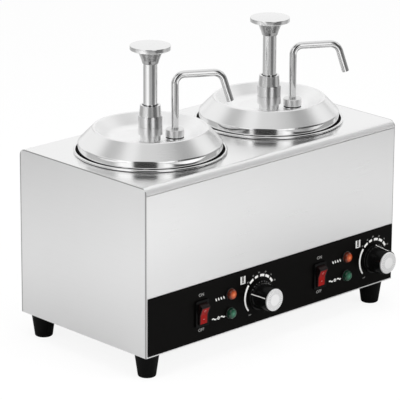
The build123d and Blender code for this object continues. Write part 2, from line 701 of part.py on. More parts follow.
def switch_housing(side):
    """Bezel and body of a rocker switch, with pin holes for the rocker."""
    x, y, z = rocker_pivot(side)
    bezel = block(x - SWITCH_BEZEL_W / 2, x + SWITCH_BEZEL_W / 2, FASCIA_Y - SWITCH_BEZEL_T, FASCIA_Y,
                  z - SWITCH_BEZEL_H / 2, z + SWITCH_BEZEL_H / 2)
    bezel = fillet(bezel.edges().filter_by(Axis.Y), SWITCH_BEZEL_ROUND)
    body = block(x - SWITCH_BODY_W / 2, x + SWITCH_BODY_W / 2, FASCIA_Y, FASCIA_Y + SWITCH_BODY_D,
                 z - SWITCH_BODY_H / 2, z + SWITCH_BODY_H / 2)
    w = ROCKER_W / 2 + ROCKER_GAP
    h = ROCKER_R + ROCKER_GAP
    cavity = block(x - w, x + w, FASCIA_Y - SWITCH_BEZEL_T, y + ROCKER_CAVITY, z - h, z + h)
    reach = w + ROCKER_PIN_L
    pin_hole = Pos(x - reach, y, z) * Rot(0, 90, 0) * post(ROCKER_PIN_R + RUNNING_FIT, 0, 2 * reach)
    return bezel + body - cavity - pin_hole


def rocker(side):
    """Rocker with a dished face; built level and then tilted to its rest."""
    drum = Rot(0, 90, 0) * Pos(0, 0, -ROCKER_W / 2) * post(ROCKER_R, 0, ROCKER_W)
    end = math.sqrt(ROCKER_R ** 2 - ROCKER_FACE ** 2)
    past = ROCKER_R + CUT_OVER
    face = Polyline((-ROCKER_FACE, end), (-ROCKER_FACE + ROCKER_DISH, 0), (-ROCKER_FACE, -end),
                    (-ROCKER_FACE, -past), (ROCKER_BACK, -past), (ROCKER_BACK, past),
                    (-ROCKER_FACE, past), close=True)
    body = drum & extrude(Plane.YZ * make_face(face), ROCKER_W, both=True)
    reach = ROCKER_W / 2 + ROCKER_PIN_L
    body += Pos(-reach, 0, 0) * Rot(0, 90, 0) * post(ROCKER_PIN_R, 0, 2 * reach)
    return Pos(*rocker_pivot(side)) * Rot(ROCKER_TILT, 0, 0) * body


def lamp_places():
    """Every pilot lamp as side and height."""
    return [(side, z) for side in POT_X for z in (LAMP_HEAT_Z, LAMP_POWER_Z)]


def lamp_bodies():
    """Black bezels and rear barrels of the four pilot lamps."""
    bezel = chamfer(post(LAMP_BEZEL_R, 0, LAMP_BEZEL_T).edges().sort_by(Axis.Z)[-1], LAMP_BEZEL_T / 3)
    body = bezel + post(LAMP_BODY_R, -LAMP_BODY_D, 0)
    body -= post(LAMP_LENS_R, -LAMP_LENS_IN, LAMP_BEZEL_T)
    return [on_fascia(side, LAMP_X, z, body) for side, z in lamp_places()]


def lamp_lens(side, z):
    lens = post(LAMP_LENS_R, -LAMP_LENS_IN, LAMP_LENS_OUT)
    return on_fascia(side, LAMP_X, z, fillet(lens.edges().sort_by(Axis.Z)[-1], LAMP_LENS_ROUND))


# ---- write every piece ----
def shared_pieces():
    """Pieces of the casing and fixed groups."""
    return {
        "top_deck": top_deck(),
        "front_panel": front_panel(),
        "back_panel": back_panel(),
        "left_side_panel": side_panel(-1),
        "right_side_panel": side_panel(1),
        "base_tray": base_tray(),
        "control_fascia": control_fascia(),
        "rubber_feet": rubber_feet(),
        "foot_screws": foot_screws(),
        "casing_screws": casing_screws(),
        "cord_gland": cord_gland(),
        "terminal_block": terminal_block(),
        "heater_plates": heater_plates(),
        "well_insulation": well_insulation(),
        "lamp_bodies": lamp_bodies(),
        "heat_lenses": [lamp_lens(side, LAMP_HEAT_Z) for side in POT_X],
        "power_lenses": [lamp_lens(side, LAMP_POWER_Z) for side in POT_X],
    }


SIDE_PIECES = [well, pot, lid, pump_barrel, pump_lock_ring, pump_cap_nut, valve_block, valve_balls,
               riser_tube, spout_seal, spout_nut, spout_tube, return_spring, plunger_rod, piston,
               press_knob, thermostat, dial_knob, dial_cap, switch_housing, rocker]


def all_pieces():
    """Every node of the warmer by name."""
    pieces = shared_pieces()
    for side in POT_X:
        for make in SIDE_PIECES:
            pieces[f"{side}_{make.__name__}"] = make(side)
    return pieces


def write_pieces(pieces):
    """One STEP file for each node."""
    os.makedirs("parts", exist_ok=True)
    for name, shape in pieces.items():
        solids = shape if isinstance(shape, list) else [shape]
        node = Compound(children=solids) if len(solids) > 1 else solids[0]
        export_step(node, f"parts/{name}.step")


PIECES = all_pieces()
write_pieces(PIECES)
print(len(PIECES), "nodes")
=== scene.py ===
"""Looks of a twin hot topping warmer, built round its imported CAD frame.

Metres. The origin is on the floor under the middle of the warmer; +X runs to the right
along the front, +Y to the back and +Z up. The CAD nodes keep their shapes and get their
finishes here; printed marks, lamp lenses, screw heads and other small forms are added.
"""
import logging
import math
from collections.abc import Callable, Mapping, Sequence
from dataclasses import dataclass, field
from enum import Enum
from typing import Any

import bmesh
import bpy
from mathutils import Matrix, Vector


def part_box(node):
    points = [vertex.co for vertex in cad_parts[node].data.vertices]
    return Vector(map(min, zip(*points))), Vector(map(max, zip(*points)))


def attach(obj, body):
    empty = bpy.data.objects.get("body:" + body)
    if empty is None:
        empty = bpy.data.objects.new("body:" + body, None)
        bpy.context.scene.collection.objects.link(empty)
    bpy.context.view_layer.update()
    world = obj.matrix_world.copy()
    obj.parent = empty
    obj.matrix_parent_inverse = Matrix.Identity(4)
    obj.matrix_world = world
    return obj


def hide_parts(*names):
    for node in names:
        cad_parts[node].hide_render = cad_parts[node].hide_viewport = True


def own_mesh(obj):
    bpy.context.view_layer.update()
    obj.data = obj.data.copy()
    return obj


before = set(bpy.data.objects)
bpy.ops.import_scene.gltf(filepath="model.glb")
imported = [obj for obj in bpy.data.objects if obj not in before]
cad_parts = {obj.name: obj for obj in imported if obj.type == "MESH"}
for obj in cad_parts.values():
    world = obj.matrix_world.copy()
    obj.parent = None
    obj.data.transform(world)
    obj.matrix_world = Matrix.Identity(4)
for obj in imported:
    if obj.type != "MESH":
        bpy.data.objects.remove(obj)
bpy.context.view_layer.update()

MM = 0.001
CAPITAL_SHARE = 0.72
INK_RELIEF = 0.03 * MM
log = logging.getLogger("warmer")

Colour = tuple[float, float, float]
Point2 = tuple[float, float]


class Side(Enum):
    """The two units of the warmer, seen from the front."""

    LEFT = "left"
    RIGHT = "right"

    def node(self, piece: str) -> str:
        """Name of one of this side's CAD nodes."""
        return f"{self.value}_{piece}"


# ---------------------------------------------------------------- shader nodes
class Wire:
    """An output socket; arithmetic on it adds Math nodes to its graph."""

    def __init__(self, graph: "Graph", socket: bpy.types.NodeSocket) -> None:
        """Wrap one output socket of a graph."""
        self.graph = graph
        self.socket = socket

    def __add__(self, other: "Wire | float") -> "Wire":
        """self + other."""
        return self.graph.maths("ADD", self, other)

    def __radd__(self, other: float) -> "Wire":
        """other + self."""
        return self.graph.maths("ADD", other, self)

    def __sub__(self, other: "Wire | float") -> "Wire":
        """self - other."""
        return self.graph.maths("SUBTRACT", self, other)

    def __rsub__(self, other: float) -> "Wire":
        """other - self."""
        return self.graph.maths("SUBTRACT", other, self)

    def __mul__(self, other: "Wire | float") -> "Wire":
        """self * other."""
        return self.graph.maths("MULTIPLY", self, other)

    def __rmul__(self, other: float) -> "Wire":
        """other * self."""
        return self.graph.maths("MULTIPLY", other, self)

    def __pow__(self, other: "Wire | float") -> "Wire":
        """self to the power of other."""
        return self.graph.maths("POWER", self, other)

    def __abs__(self) -> "Wire":
        """Size without the sign."""
        return self.graph.maths("ABSOLUTE", self)

    def sine(self) -> "Wire":
        """Sine of an angle in radians."""
        return self.graph.maths("SINE", self)

    def arcsine(self) -> "Wire":
        """Angle whose sine this is."""
        return self.graph.maths("ARCSINE", self)

    def angle_from(self, along: "Wire") -> "Wire":
        """Angle of the point (along, self), in radians."""
        return self.graph.maths("ARCTAN2", self, along)

    def rise(self, low: float, high: float) -> "Wire":
        """Smooth step.

        Args:
            low: Value up to which the step is 0.
            high: Value from which it is 1.

        Returns:
            The step.
        """
        return self.graph.node(
            "MapRange", {"interpolation_type": "SMOOTHSTEP"},
            {"Value": self, "From Min": low, "From Max": high, "To Min": 0.0, "To Max": 1.0})

    def band(self, low: float, high: float, soft: float) -> "Wire":
        """1 between low and high, with soft edges."""
        return self.rise(low - soft, low + soft) * (1.0 - self.rise(high - soft, high + soft))


class Graph:
    """Node tree of one material or of the world."""

    def __init__(self, tree: bpy.types.NodeTree) -> None:
        """Start from an empty tree."""
        self.tree = tree
        tree.nodes.clear()

    def node(self, kind: str, settings: Mapping[str, Any] | None = None,
             inputs: Mapping[str | int, Any] | None = None, output: str | int = 0) -> Wire:
        """Add a node.

        Args:
            kind: Blender's name of the node type without its "ShaderNode" prefix.
            settings: Attributes of the node, set before its sockets.
            inputs: Values or wires for its sockets, by name or number.
            output: Socket that the result starts from.

        Returns:
            Wire from that output socket.
        """
        node = self.tree.nodes.new(f"ShaderNode{kind}")
        for name, value in (settings or {}).items():
            setattr(node, name, value)
        for name, value in (inputs or {}).items():
            self._feed(node.inputs[name], value)
        return Wire(self, node.outputs[output])

    def _feed(self, socket: bpy.types.NodeSocket, value: Any) -> None:
        """Link a wire to a socket, or set the socket's own value.

        Args:
            socket: Socket of one of the tree's nodes.
            value: Wire, number, vector or colour.
        """
        if isinstance(value, Wire):
            self.tree.links.new(value.socket, socket)
        elif socket.type == "RGBA":
            socket.default_value = (*value, 1.0)
        else:
            socket.default_value = value

    def maths(self, operation: str, left: Wire | float, right: Wire | float = 0.0) -> Wire:
        """One Math node."""
        return self.node("Math", {"operation": operation}, {0: left, 1: right})

    def place(self) -> Wire:
        """Coordinates of the surface in its object's own space, in metres."""
        return self.node("TexCoord", output="Object")

    def split(self, vector: Wire) -> tuple[Wire, Wire, Wire]:
        """Take a vector apart.

        Args:
            vector: Wire of a vector.

        Returns:
            Its parts along X, Y and Z.
        """
        parts = self.node("SeparateXYZ", inputs={0: vector})
        x, y, z = (Wire(self, part) for part in parts.socket.node.outputs)
        return x, y, z

    def join(self, x: Wire | float, y: Wire | float, z: Wire | float) -> Wire:
        """A vector from three numbers."""
        return self.node("CombineXYZ", inputs={0: x, 1: y, 2: z})

    def stretch(self, vector: Wire, factors: tuple[float, float, float]) -> Wire:
        """A vector with each part multiplied by its own factor."""
        return self.node("VectorMath", {"operation": "MULTIPLY"}, {0: vector, 1: factors})

    def rays(self, kind: str) -> Wire:
        """1 for light paths of this kind: Camera, Glossy or Transmission."""
        return self.node("LightPath", output=f"Is {kind} Ray")

    def noise(self, vector: Wire, scale: float, detail: float = 2.0) -> Wire:
        """Smooth noise between 0 and 1."""
        return self.node("TexNoise", inputs={"Vector": vector, "Scale": scale, "Detail": detail})

    def mix(self, mask: Wire | float, low: Colour | Wire, high: Colour | Wire,
            blend: str = "MIX") -> Wire:
        """Colour that goes from low to high with a mask, or is blended another way."""
        return self.node("Mix", {"data_type": "RGBA", "blend_type": blend},
                         {0: mask, 6: low, 7: high}, output=2)

    def from_axis(self, centre: Point2) -> Wire:
        """Distance of the surface from an upright axis.

        Args:
            centre: Where the axis stands, as (x, y).

        Returns:
            The distance in metres.
        """
        x, y, _ = self.split(self.place())
        across, along = x - centre[0], y - centre[1]
        return (across * across + along * along) ** 0.5

    def turning(self, radius: Wire, height: Wire | float, fineness: float) -> Wire:
        """Noise that is alike all round an axis, as a lathe leaves it."""
        return self.noise(self.join(radius * fineness, height * fineness, 0.0), 1.0, 2.0)

    def bump(self, height: Wire, depth: float) -> Wire:
        """Normal of a surface with a height of 0 to 1 times depth, in metres."""
        return self.node("Bump", inputs={"Height": height, "Distance": depth, "Strength": 1.0})

    def principled(self, inputs: Mapping[str, Any]) -> Wire:
        """Principled shader with these sockets."""
        return self.node("BsdfPrincipled", inputs=inputs)

    def metal(self, colour: Wire, rough: Wire, normal: Wire) -> Wire:
        """Shader of bare metal."""
        return self.principled({"Base Color": colour, "Metallic": 1.0, "Roughness": rough, "Normal": normal})

    def solid(self, colour: Wire, rough: Wire, specular: float, normal: Wire) -> Wire:
        """Shader of plastic, rubber or ink with this much gloss."""
        return self.principled({"Base Color": colour, "Roughness": rough, "Specular IOR Level": specular,
                                "Normal": normal})

    def end(self, kind: str, shader: Wire) -> None:
        """Lead a shader to the tree's output node of this kind."""
        self._feed(self.tree.nodes.new(f"ShaderNode{kind}").inputs["Surface"], shader)


# ---------------------------------------------------------------- finishes
# Stretches of a smooth noise over which smears and handling marks come out.
SMEARED = (0.45, 0.75)
HANDLED = (0.5, 0.8)


def grey(tone: float) -> Colour:
    """Neutral colour of one tone."""
    return tone, tone, tone


def lighter(colour: Colour, factor: float) -> Colour:
    """Colour with each channel multiplied by a factor."""
    return tuple(channel * factor for channel in colour)


@dataclass(frozen=True)
class Finish:
    """A named surface finish; each kind paints its own shader."""

    name: str

    def paint(self, graph: Graph) -> Wire:
        """Build the shader.

        Args:
            graph: Empty node tree of the material.

        Returns:
            Wire from the shader.
        """
        raise NotImplementedError

    def material(self) -> bpy.types.Material:
        """The finish as a material, made once and then shared.

        Returns:
            The material.
        """
        found = bpy.data.materials.get(self.name)
        if found is not None:
            return found
        made = bpy.data.materials.new(self.name)
        made.use_nodes = True
        graph = Graph(made.node_tree)
        graph.end("OutputMaterial", self.paint(graph))
        return made


class Grain(Enum):
    """Direction of brush lines, as the fineness of the noise along X, Y and Z."""

    ALONG_X = (9.0, 1500.0, 1500.0)
    ALONG_Y = (1500.0, 9.0, 1500.0)


@dataclass(frozen=True)
class Seam:
    """Painted shade of the gap at a joint along a sheet's edge, across X, Y or Z (0, 1 or 2), in metres.

    It is darkest up to one share of its width and gone at another.
    """

    axis: int
    at: float
    width: float
    shade_share: float = 0.7
    end_share: float = 1.1

    def near(self, places: tuple[Wire, Wire, Wire]) -> Wire:
        """1 on the joint, with a soft edge, and 0 elsewhere."""
        away = abs(places[self.axis] - self.at)
        return 1.0 - away.rise(self.width * self.shade_share, self.width * self.end_share)


@dataclass(frozen=True)
class BrushedSteel(Finish):
    """Sheet steel brushed in one direction, with painted shade along the joints where it meets its
    neighbours.
    """

    grain: Grain
    tone: float = 0.84
    roughness: float = 0.30
    depth: float = 4e-6
    cloud_fineness: float = 7.0
    cloud: float = 0.02
    line_tone: float = 0.96
    seams: tuple[Seam, ...] = ()
    seam_shade_tone: float = 0.36
    fold: float = 0.0
    fold_fade: float = 1.5 * MM
    fold_satin: float = 0.0
    fold_tone: float = 1.0

    def paint(self, graph: Graph) -> Wire:
        """Brush lines over a faintly uneven sheet, which is satin below its fold.

        Args:
            graph: Empty node tree of the material.

        Returns:
            Wire from the shader.
        """
        place = graph.place()
        lines = graph.noise(graph.stretch(place, self.grain.value), 1.0, 3.0)
        clouds = graph.noise(place, self.cloud_fineness, 2.0)
        tone = graph.mix(clouds, grey(self.tone - self.cloud), grey(self.tone + self.cloud))
        colour = graph.mix(1.0, tone, graph.mix(lines, grey(self.line_tone), grey(1.0)), "MULTIPLY")
        places = graph.split(place)
        # painted shade: each joint is darkened to stand in for the shadow in the gap between sheets
        for seam in self.seams:
            colour = graph.mix(seam.near(places), colour, grey(self.seam_shade_tone))
        rough = self.roughness + (lines - 0.5) * 0.10 + (clouds - 0.5) * 0.06
        if self.fold_satin > 0.0:
            bent = 1.0 - places[2].rise(self.fold - self.fold_fade, self.fold)
            rough = rough + bent * self.fold_satin
            colour = graph.mix(bent, colour, grey(self.fold_tone))
        return graph.metal(colour, rough, graph.bump(lines, self.depth))


@dataclass(frozen=True)
class SpunSteel(Finish):
    """Steel spun or turned about an upright axis, with fine rings round it."""

    centre: Point2
    tone: float = 0.84
    roughness: float = 0.08
    depth: float = 1.5e-6
    fineness: float = 1800.0
    smear_fineness: float = 38.0
    smear: float = 0.04
    painted_shade_tone: float = 0.0
    painted_shade_top: float = 0.0
    painted_shade_fade: float = 0.5 * MM

    def paint(self, graph: Graph) -> Wire:
        """Fine rings, a faint smear of handling and painted shade below some height.

        Args:
            graph: Empty node tree of the material.

        Returns:
            Wire from the shader.
        """
        place = graph.place()
        _, _, z = graph.split(place)
        rings = graph.turning(graph.from_axis(self.centre), z, self.fineness)
        smears = graph.noise(place, self.smear_fineness, 3.0)
        colour = graph.mix(rings, grey(self.tone * 0.97), grey(self.tone))
        rough = self.roughness + (rings - 0.5) * 0.04 + smears.rise(*SMEARED) * self.smear
        # painted shade: below the height the colour is darkened; only the colour changes, not the gloss
        if self.painted_shade_tone > 0.0:
            above = z.rise(self.painted_shade_top - self.painted_shade_fade, self.painted_shade_top + self.painted_shade_fade)
            colour = graph.mix(above, grey(self.painted_shade_tone), colour)
        return graph.metal(colour, rough, graph.bump(rings, self.depth))


@dataclass(frozen=True)
class RimmedSteel(SpunSteel):
    """Spun steel with painted shade in the groove round its rim, where the lid stands.

    The groove is at a radius from the axis, and its painted shade is full over one share of its width.
    """

    groove: float = 0.0
    groove_width: float = 3.2 * MM
    shade_share: float = 0.72
    groove_tone: float = 0.012

    def paint(self, graph: Graph) -> Wire:
        """Spun steel with the groove's painted shade laid over it.

        Args:
            graph: Empty node tree of the material.

        Returns:
            Wire from the shader.
        """
        steel = super().paint(graph)
        off = abs(graph.from_axis(self.centre) - self.groove)
        half = self.groove_width / 2.0
        inside = 1.0 - off.rise(half * self.shade_share, half)
        # painted shade: a dull near-black surface standing in for the shadow in the gap between the lid's
        # band and the rim's bead
        shaded_groove = graph.principled({"Base Color": grey(self.groove_tone), "Roughness": 0.9,
                                 "Specular IOR Level": 0.0})
        return graph.node("MixShader", inputs={0: inside, 1: steel, 2: shaded_groove})


@dataclass(frozen=True)
class LidSteel(Finish):
    """Pressed lid with a mirror-bright band, a satin slope and a matter, paler dish."""

    centre: Point2
    band_top: float
    dish_radius: float
    tone: float = 0.86
    dish_tone: float = 0.99
    bright: float = 0.06
    satin: float = 0.24
    matt: float = 0.40
    depth: float = 1.2e-6
    fineness: float = 1800.0
    smear_fineness: float = 38.0
    smear: float = 0.03
    band_fade: float = 0.8 * MM
    dish_fade: float = 3.0 * MM

    def paint(self, graph: Graph) -> Wire:
        """Fine spun rings whose gloss changes from the band to the dish.

        Args:
            graph: Empty node tree of the material.

        Returns:
            Wire from the shader.
        """
        place = graph.place()
        _, _, z = graph.split(place)
        radius = graph.from_axis(self.centre)
        rings = graph.turning(radius, z, self.fineness)
        smears = graph.noise(place, self.smear_fineness, 3.0)
        above = z.rise(self.band_top - self.band_fade, self.band_top + self.band_fade)
        dish = 1.0 - radius.rise(self.dish_radius - self.dish_fade, self.dish_radius)
        colour = graph.mix(dish, grey(self.tone), grey(self.dish_tone))
        colour = graph.mix(rings * 0.25, colour, grey(self.tone * 0.9))
        rough = self.bright + above * (self.satin - self.bright) + dish * above * (self.matt - self.satin)
        rough = rough + (rings - 0.5) * 0.04 + smears.rise(*SMEARED) * self.smear
        return graph.metal(colour, rough, graph.bump(rings, self.depth))


@dataclass(frozen=True)
class ThreadedSteel(Finish):
    """Turned steel with close grip grooves between two heights."""

    centre: Point2
    low: float
    high: float
    lean: float
    lean_to: float
    land_satin: float
    fade: float = 0.3 * MM
    pitch: float = 1.3 * MM
    groove_share: float = 0.35
    tone: float = 0.84
    roughness: float = 0.08
    depth: float = 0.01 * MM
    fineness: float = 2200.0

    def paint(self, graph: Graph) -> Wire:
        """Shallow grooves round the ring, whose lands lean upwards below some height.

        Args:
            graph: Empty node tree of the material.

        Returns:
            Wire from the shader.
        """
        _, _, z = graph.split(graph.place())
        wave = (z * (2.0 * math.pi / self.pitch)).sine() * 0.5 + 0.5
        inside = z.band(self.low, self.high, self.fade)
        ridges = (1.0 - wave.rise(0.0, self.groove_share) * inside) * inside
        fine = graph.turning(graph.from_axis(self.centre), z, self.fineness)
        slant = graph.maths("MINIMUM", z, self.lean_to) * math.tan(self.lean)
        lands = 1.0 - z.rise(self.lean_to - self.fade, self.lean_to)
        return graph.metal(graph.mix(ridges, grey(self.tone), grey(self.tone * 0.85)),
                           self.roughness + lands * self.land_satin + (fine - 0.5) * 0.06,
                           graph.bump((1.0 - ridges) * self.depth - slant, 1.0))


@dataclass(frozen=True)
class DrawnSteel(Finish):
    """Polished round stock with faint scratches along its length."""

    tone: float = 0.84
    roughness: float = 0.10
    depth: float = 1.2e-6
    scratches: tuple[float, float, float] = (1700.0, 1700.0, 60.0)
    mark_fineness: float = 60.0

    def paint(self, graph: Graph) -> Wire:
        """Faint lengthwise scratches and handling marks.

        Args:
            graph: Empty node tree of the material.

        Returns:
            Wire from the shader.
        """
        place = graph.place()
        scratches = graph.noise(graph.stretch(place, self.scratches), 1.0, 2.0)
        marks = graph.noise(place, self.mark_fineness, 3.0)
        colour = graph.mix(scratches, grey(self.tone * 0.97), grey(self.tone))
        rough = self.roughness + (scratches - 0.5) * 0.03 + marks.rise(*HANDLED) * 0.05
        return graph.metal(colour, rough, graph.bump(scratches, self.depth))


@dataclass(frozen=True)
class CastMetal(Finish):
    """Dull cast or plated metal of the inner parts."""

    colour: Colour
    roughness: float = 0.5
    depth: float = 0.03 * MM
    sand_fineness: float = 900.0
    mottle_fineness: float = 55.0

    def paint(self, graph: Graph) -> Wire:
        """Sand-cast texture with a mottled tone.

        Args:
            graph: Empty node tree of the material.

        Returns:
            Wire from the shader.
        """
        place = graph.place()
        sand = graph.noise(place, self.sand_fineness, 3.0)
        mottle = graph.noise(place, self.mottle_fineness, 3.0)
        colour = graph.mix(mottle, lighter(self.colour, 0.85), lighter(self.colour, 1.1))
        return graph.metal(colour, self.roughness + (mottle - 0.5) * 0.15, graph.bump(sand, self.depth))


@dataclass(frozen=True)
class Plastic(Finish):
    """Moulded or printed plastic."""

    colour: Colour
    roughness: float = 0.3
    specular: float = 0.5
    depth: float = 0.01 * MM
    skin_fineness: float = 1600.0
    mark_fineness: float = 45.0

    def paint(self, graph: Graph) -> Wire:
        """Fine moulded skin with faint handling marks.

        Args:
            graph: Empty node tree of the material.

        Returns:
            Wire from the shader.
        """
        place = graph.place()
        skin = graph.noise(place, self.skin_fineness, 2.0)
        marks = graph.noise(place, self.mark_fineness, 3.0)
        colour = graph.mix(marks, lighter(self.colour, 0.92), lighter(self.colour, 1.08))
        rough = self.roughness + (skin - 0.5) * 0.06 + marks.rise(*HANDLED) * 0.05
        return graph.solid(colour, rough, self.specular, graph.bump(skin, self.depth))


@dataclass(frozen=True)
class Rubber(Finish):
    """Matt rubber with a dusty, slightly worn foot."""

    colour: Colour = (0.003, 0.003, 0.003)
    worn_height: float = 4.0 * MM
    worn_patches: Point2 = (0.35, 0.7)
    skin_fineness: float = 1400.0
    patch_fineness: float = 160.0
    depth: float = 0.03 * MM

    def paint(self, graph: Graph) -> Wire:
        """Matt skin, a little greyer where it scuffs on the table.

        Args:
            graph: Empty node tree of the material.

        Returns:
            Wire from the shader.
        """
        place = graph.place()
        _, _, z = graph.split(place)
        skin = graph.noise(place, self.skin_fineness, 3.0)
        patches = graph.noise(place, self.patch_fineness, 3.0)
        worn = (1.0 - z.rise(0.0, self.worn_height)) * patches.rise(*self.worn_patches)
        colour = graph.mix(worn, self.colour, lighter(self.colour, 3.0))
        return graph.solid(colour, 0.55 + worn * 0.25, 0.07, graph.bump(skin, self.depth))


@dataclass(frozen=True)
class Ink(Finish):
    """Screen-printed ink."""

    colour: Colour
    cover_fineness: float = 700.0
    depth: float = 0.005 * MM

    def paint(self, graph: Graph) -> Wire:
        """Slightly uneven cover.

        Args:
            graph: Empty node tree of the material.

        Returns:
            Wire from the shader.
        """
        cover = graph.noise(graph.place(), self.cover_fineness, 3.0)
        colour = graph.mix(cover, lighter(self.colour, 0.88), self.colour)
        return graph.solid(colour, 0.45 + (cover - 0.5) * 0.1, 0.3, graph.bump(cover, self.depth))


@dataclass(frozen=True)
class JewelPlastic(Finish):
    """Clear coloured lens with a painted glowing heart and painted shade at its rim; its own axis is the
    object's Z.
    """

    body: Colour
    glow_core: Colour
    rim: Colour
    radius: float
    shade_rim_start: float = 0.40
    shade_rim_full: float = 0.90
    glow_core_end: float = 0.42
    glow: float = 0.14
    fleck_fineness: float = 500.0
    depth: float = 0.01 * MM

    def paint(self, graph: Graph) -> Wire:
        """Painted shade at the rim, coloured body and a painted glow in the heart.

        Args:
            graph: Empty node tree of the material.

        Returns:
            Wire from the shader.
        """
        radius = graph.from_axis((0.0, 0.0))
        # painted shade darkens the rim and a painted glow lightens the heart, in base colour and emission
        # alike
        rim = radius.rise(self.radius * self.shade_rim_start, self.radius * self.shade_rim_full)
        glow_heart = 1.0 - radius.rise(0.0, self.radius * self.glow_core_end)
        flecks = graph.noise(graph.place(), self.fleck_fineness, 2.0)
        colour = graph.mix(glow_heart, graph.mix(rim, self.body, self.rim), self.glow_core)
        return graph.principled({
            "Base Color": colour, "Roughness": 0.08 + flecks * 0.06, "Specular IOR Level": 0.6,
            "Emission Color": colour, "Emission Strength": self.glow,
            "Normal": graph.bump(flecks, self.depth)})


@dataclass(frozen=True)
class RockerPlastic(Finish):
    """Red see-through rocker, with painted shade that makes it nearly black on its sides and top, where no
    light reaches.
    """

    centre_x: float
    half_width: float
    top: float
    flank_fade: float = 2.8 * MM
    top_fade: float = 3.0 * MM
    colour: Colour = (0.30, 0.005, 0.004)
    shade: Colour = (0.008, 0.004, 0.004)
    cloud_fineness: float = 120.0
    depth: float = 0.01 * MM

    def paint(self, graph: Graph) -> Wire:
        """Deep red with painted shade on the flanks and the top.

        Args:
            graph: Empty node tree of the material.

        Returns:
            Wire from the shader.
        """
        place = graph.place()
        x, _, z = graph.split(place)
        flank = abs(x - self.centre_x).rise(self.half_width - self.flank_fade, self.half_width)
        above = z.rise(self.top - self.top_fade, self.top)
        clouds = graph.noise(place, self.cloud_fineness, 2.0)
        lit = graph.mix(clouds, lighter(self.colour, 0.8), lighter(self.colour, 1.15))
        # painted shade: flanks and top blend to the shade colour
        colour = graph.mix(graph.maths("MAXIMUM", flank, above), lit, self.shade)
        return graph.solid(colour, 0.20 + clouds * 0.08, 0.12, graph.bump(clouds, self.depth))


@dataclass(frozen=True)
class CapMetal(Finish):
    """Bright spun disc with a ring of milled notches; its axis runs along Y.

    The rings of the notches and the groove are shares of the disc's radius.
    """

    centre: Point2
    radius: float
    notches: float = 30.0
    notch_ring: Point2 = (0.52, 0.90)
    notch_fade: float = 0.4 * MM
    groove_ring: Point2 = (0.90, 0.93)
    groove_fade: float = 0.1 * MM
    face_tone: float = 0.93
    notch_tone: float = 0.62
    groove_tone: float = 0.70
    metallic: float = 0.55
    fineness: float = 3500.0
    depth: float = 0.05 * MM

    def paint(self, graph: Graph) -> Wire:
        """Concentric turning marks, a groove and the notches milled inside it.

        Args:
            graph: Empty node tree of the material.

        Returns:
            Wire from the shader.
        """
        x, _, z = graph.split(graph.place())
        across, up = x - self.centre[0], z - self.centre[1]
        radius = (across * across + up * up) ** 0.5
        rings = graph.turning(radius, 0.0, self.fineness)
        notches = (across.angle_from(up) * self.notches).sine().rise(-0.4, 0.4)
        notch_in, notch_out = (share * self.radius for share in self.notch_ring)
        groove_in, groove_out = (share * self.radius for share in self.groove_ring)
        milled = notches * radius.band(notch_in, notch_out, self.notch_fade)
        groove = radius.band(groove_in, groove_out, self.groove_fade)
        face = graph.mix(milled, grey(self.face_tone), grey(self.notch_tone))
        height = rings * 0.15 - groove - milled * 0.8
        return graph.principled({
            "Base Color": graph.mix(groove, face, grey(self.groove_tone)), "Metallic": self.metallic,
            "Roughness": 0.28 + rings * 0.08, "Normal": graph.bump(height, self.depth)})


@dataclass(frozen=True)
class WoolBoard(Finish):
    """Pale mineral wool round the wells."""

    colour: Colour = (0.55, 0.50, 0.36)
    fibres: tuple[float, float, float] = (700.0, 700.0, 180.0)
    clump_fineness: float = 60.0
    depth: float = 0.4 * MM

    def paint(self, graph: Graph) -> Wire:
        """Matted fibres.

        Args:
            graph: Empty node tree of the material.

        Returns:
            Wire from the shader.
        """
        place = graph.place()
        fibres = graph.noise(graph.stretch(place, self.fibres), 1.0, 4.0)
        clumps = graph.noise(place, self.clump_fineness, 3.0)
        colour = graph.mix(clumps, lighter(self.colour, 0.75), lighter(self.colour, 1.15))
        return graph.principled({
            "Base Color": colour, "Roughness": 0.9 + (fibres - 0.5) * 0.1,
            "Normal": graph.bump(fibres, self.depth)})


# ---------------------------------------------------------------- making and dressing pieces
def dress(node: str, finish: Finish) -> None:
    """Give a CAD node its finish.

    Args:
        node: Name of the CAD node.
        finish: Finish for all of it.
    """
    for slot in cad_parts[node].material_slots:
        slot.material = finish.material()
    log.info("dressed %s in %s", node, finish.name)


def put(name: str, data: bpy.types.ID) -> bpy.types.Object:
    """Object with this mesh, text, camera or light, linked to the scene.

    Args:
        name: Name of the object.
        data: What it shows.

    Returns:
        The new object.
    """
    made = bpy.data.objects.new(name, data)
    bpy.context.scene.collection.objects.link(made)
    return made


def add_piece(name: str, mesh: bmesh.types.BMesh, body: str, finish: Finish,
              at: Matrix | None = None, smooth: bool = True) -> bpy.types.Object:
    """Turn a mesh into a piece that rides on a CAD body.

    Args:
        name: Name of the piece.
        mesh: Its shape, freed here.
        body: CAD body that carries it.
        finish: Its finish.
        at: Place of the piece, where its mesh isn't already in place.
        smooth: Whether its faces are shaded smooth.

    Returns:
        The new object.
    """
    data = bpy.data.meshes.new(name)
    bmesh.ops.recalc_face_normals(mesh, faces=mesh.faces)
    mesh.to_mesh(data)
    mesh.free()
    for face in data.polygons:
        face.use_smooth = smooth
    data.materials.append(finish.material())
    piece = put(name, data)
    if at is not None:
        piece.matrix_world = at
    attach(piece, body)
    log.info("made %s on %s", name, body)
    return piece


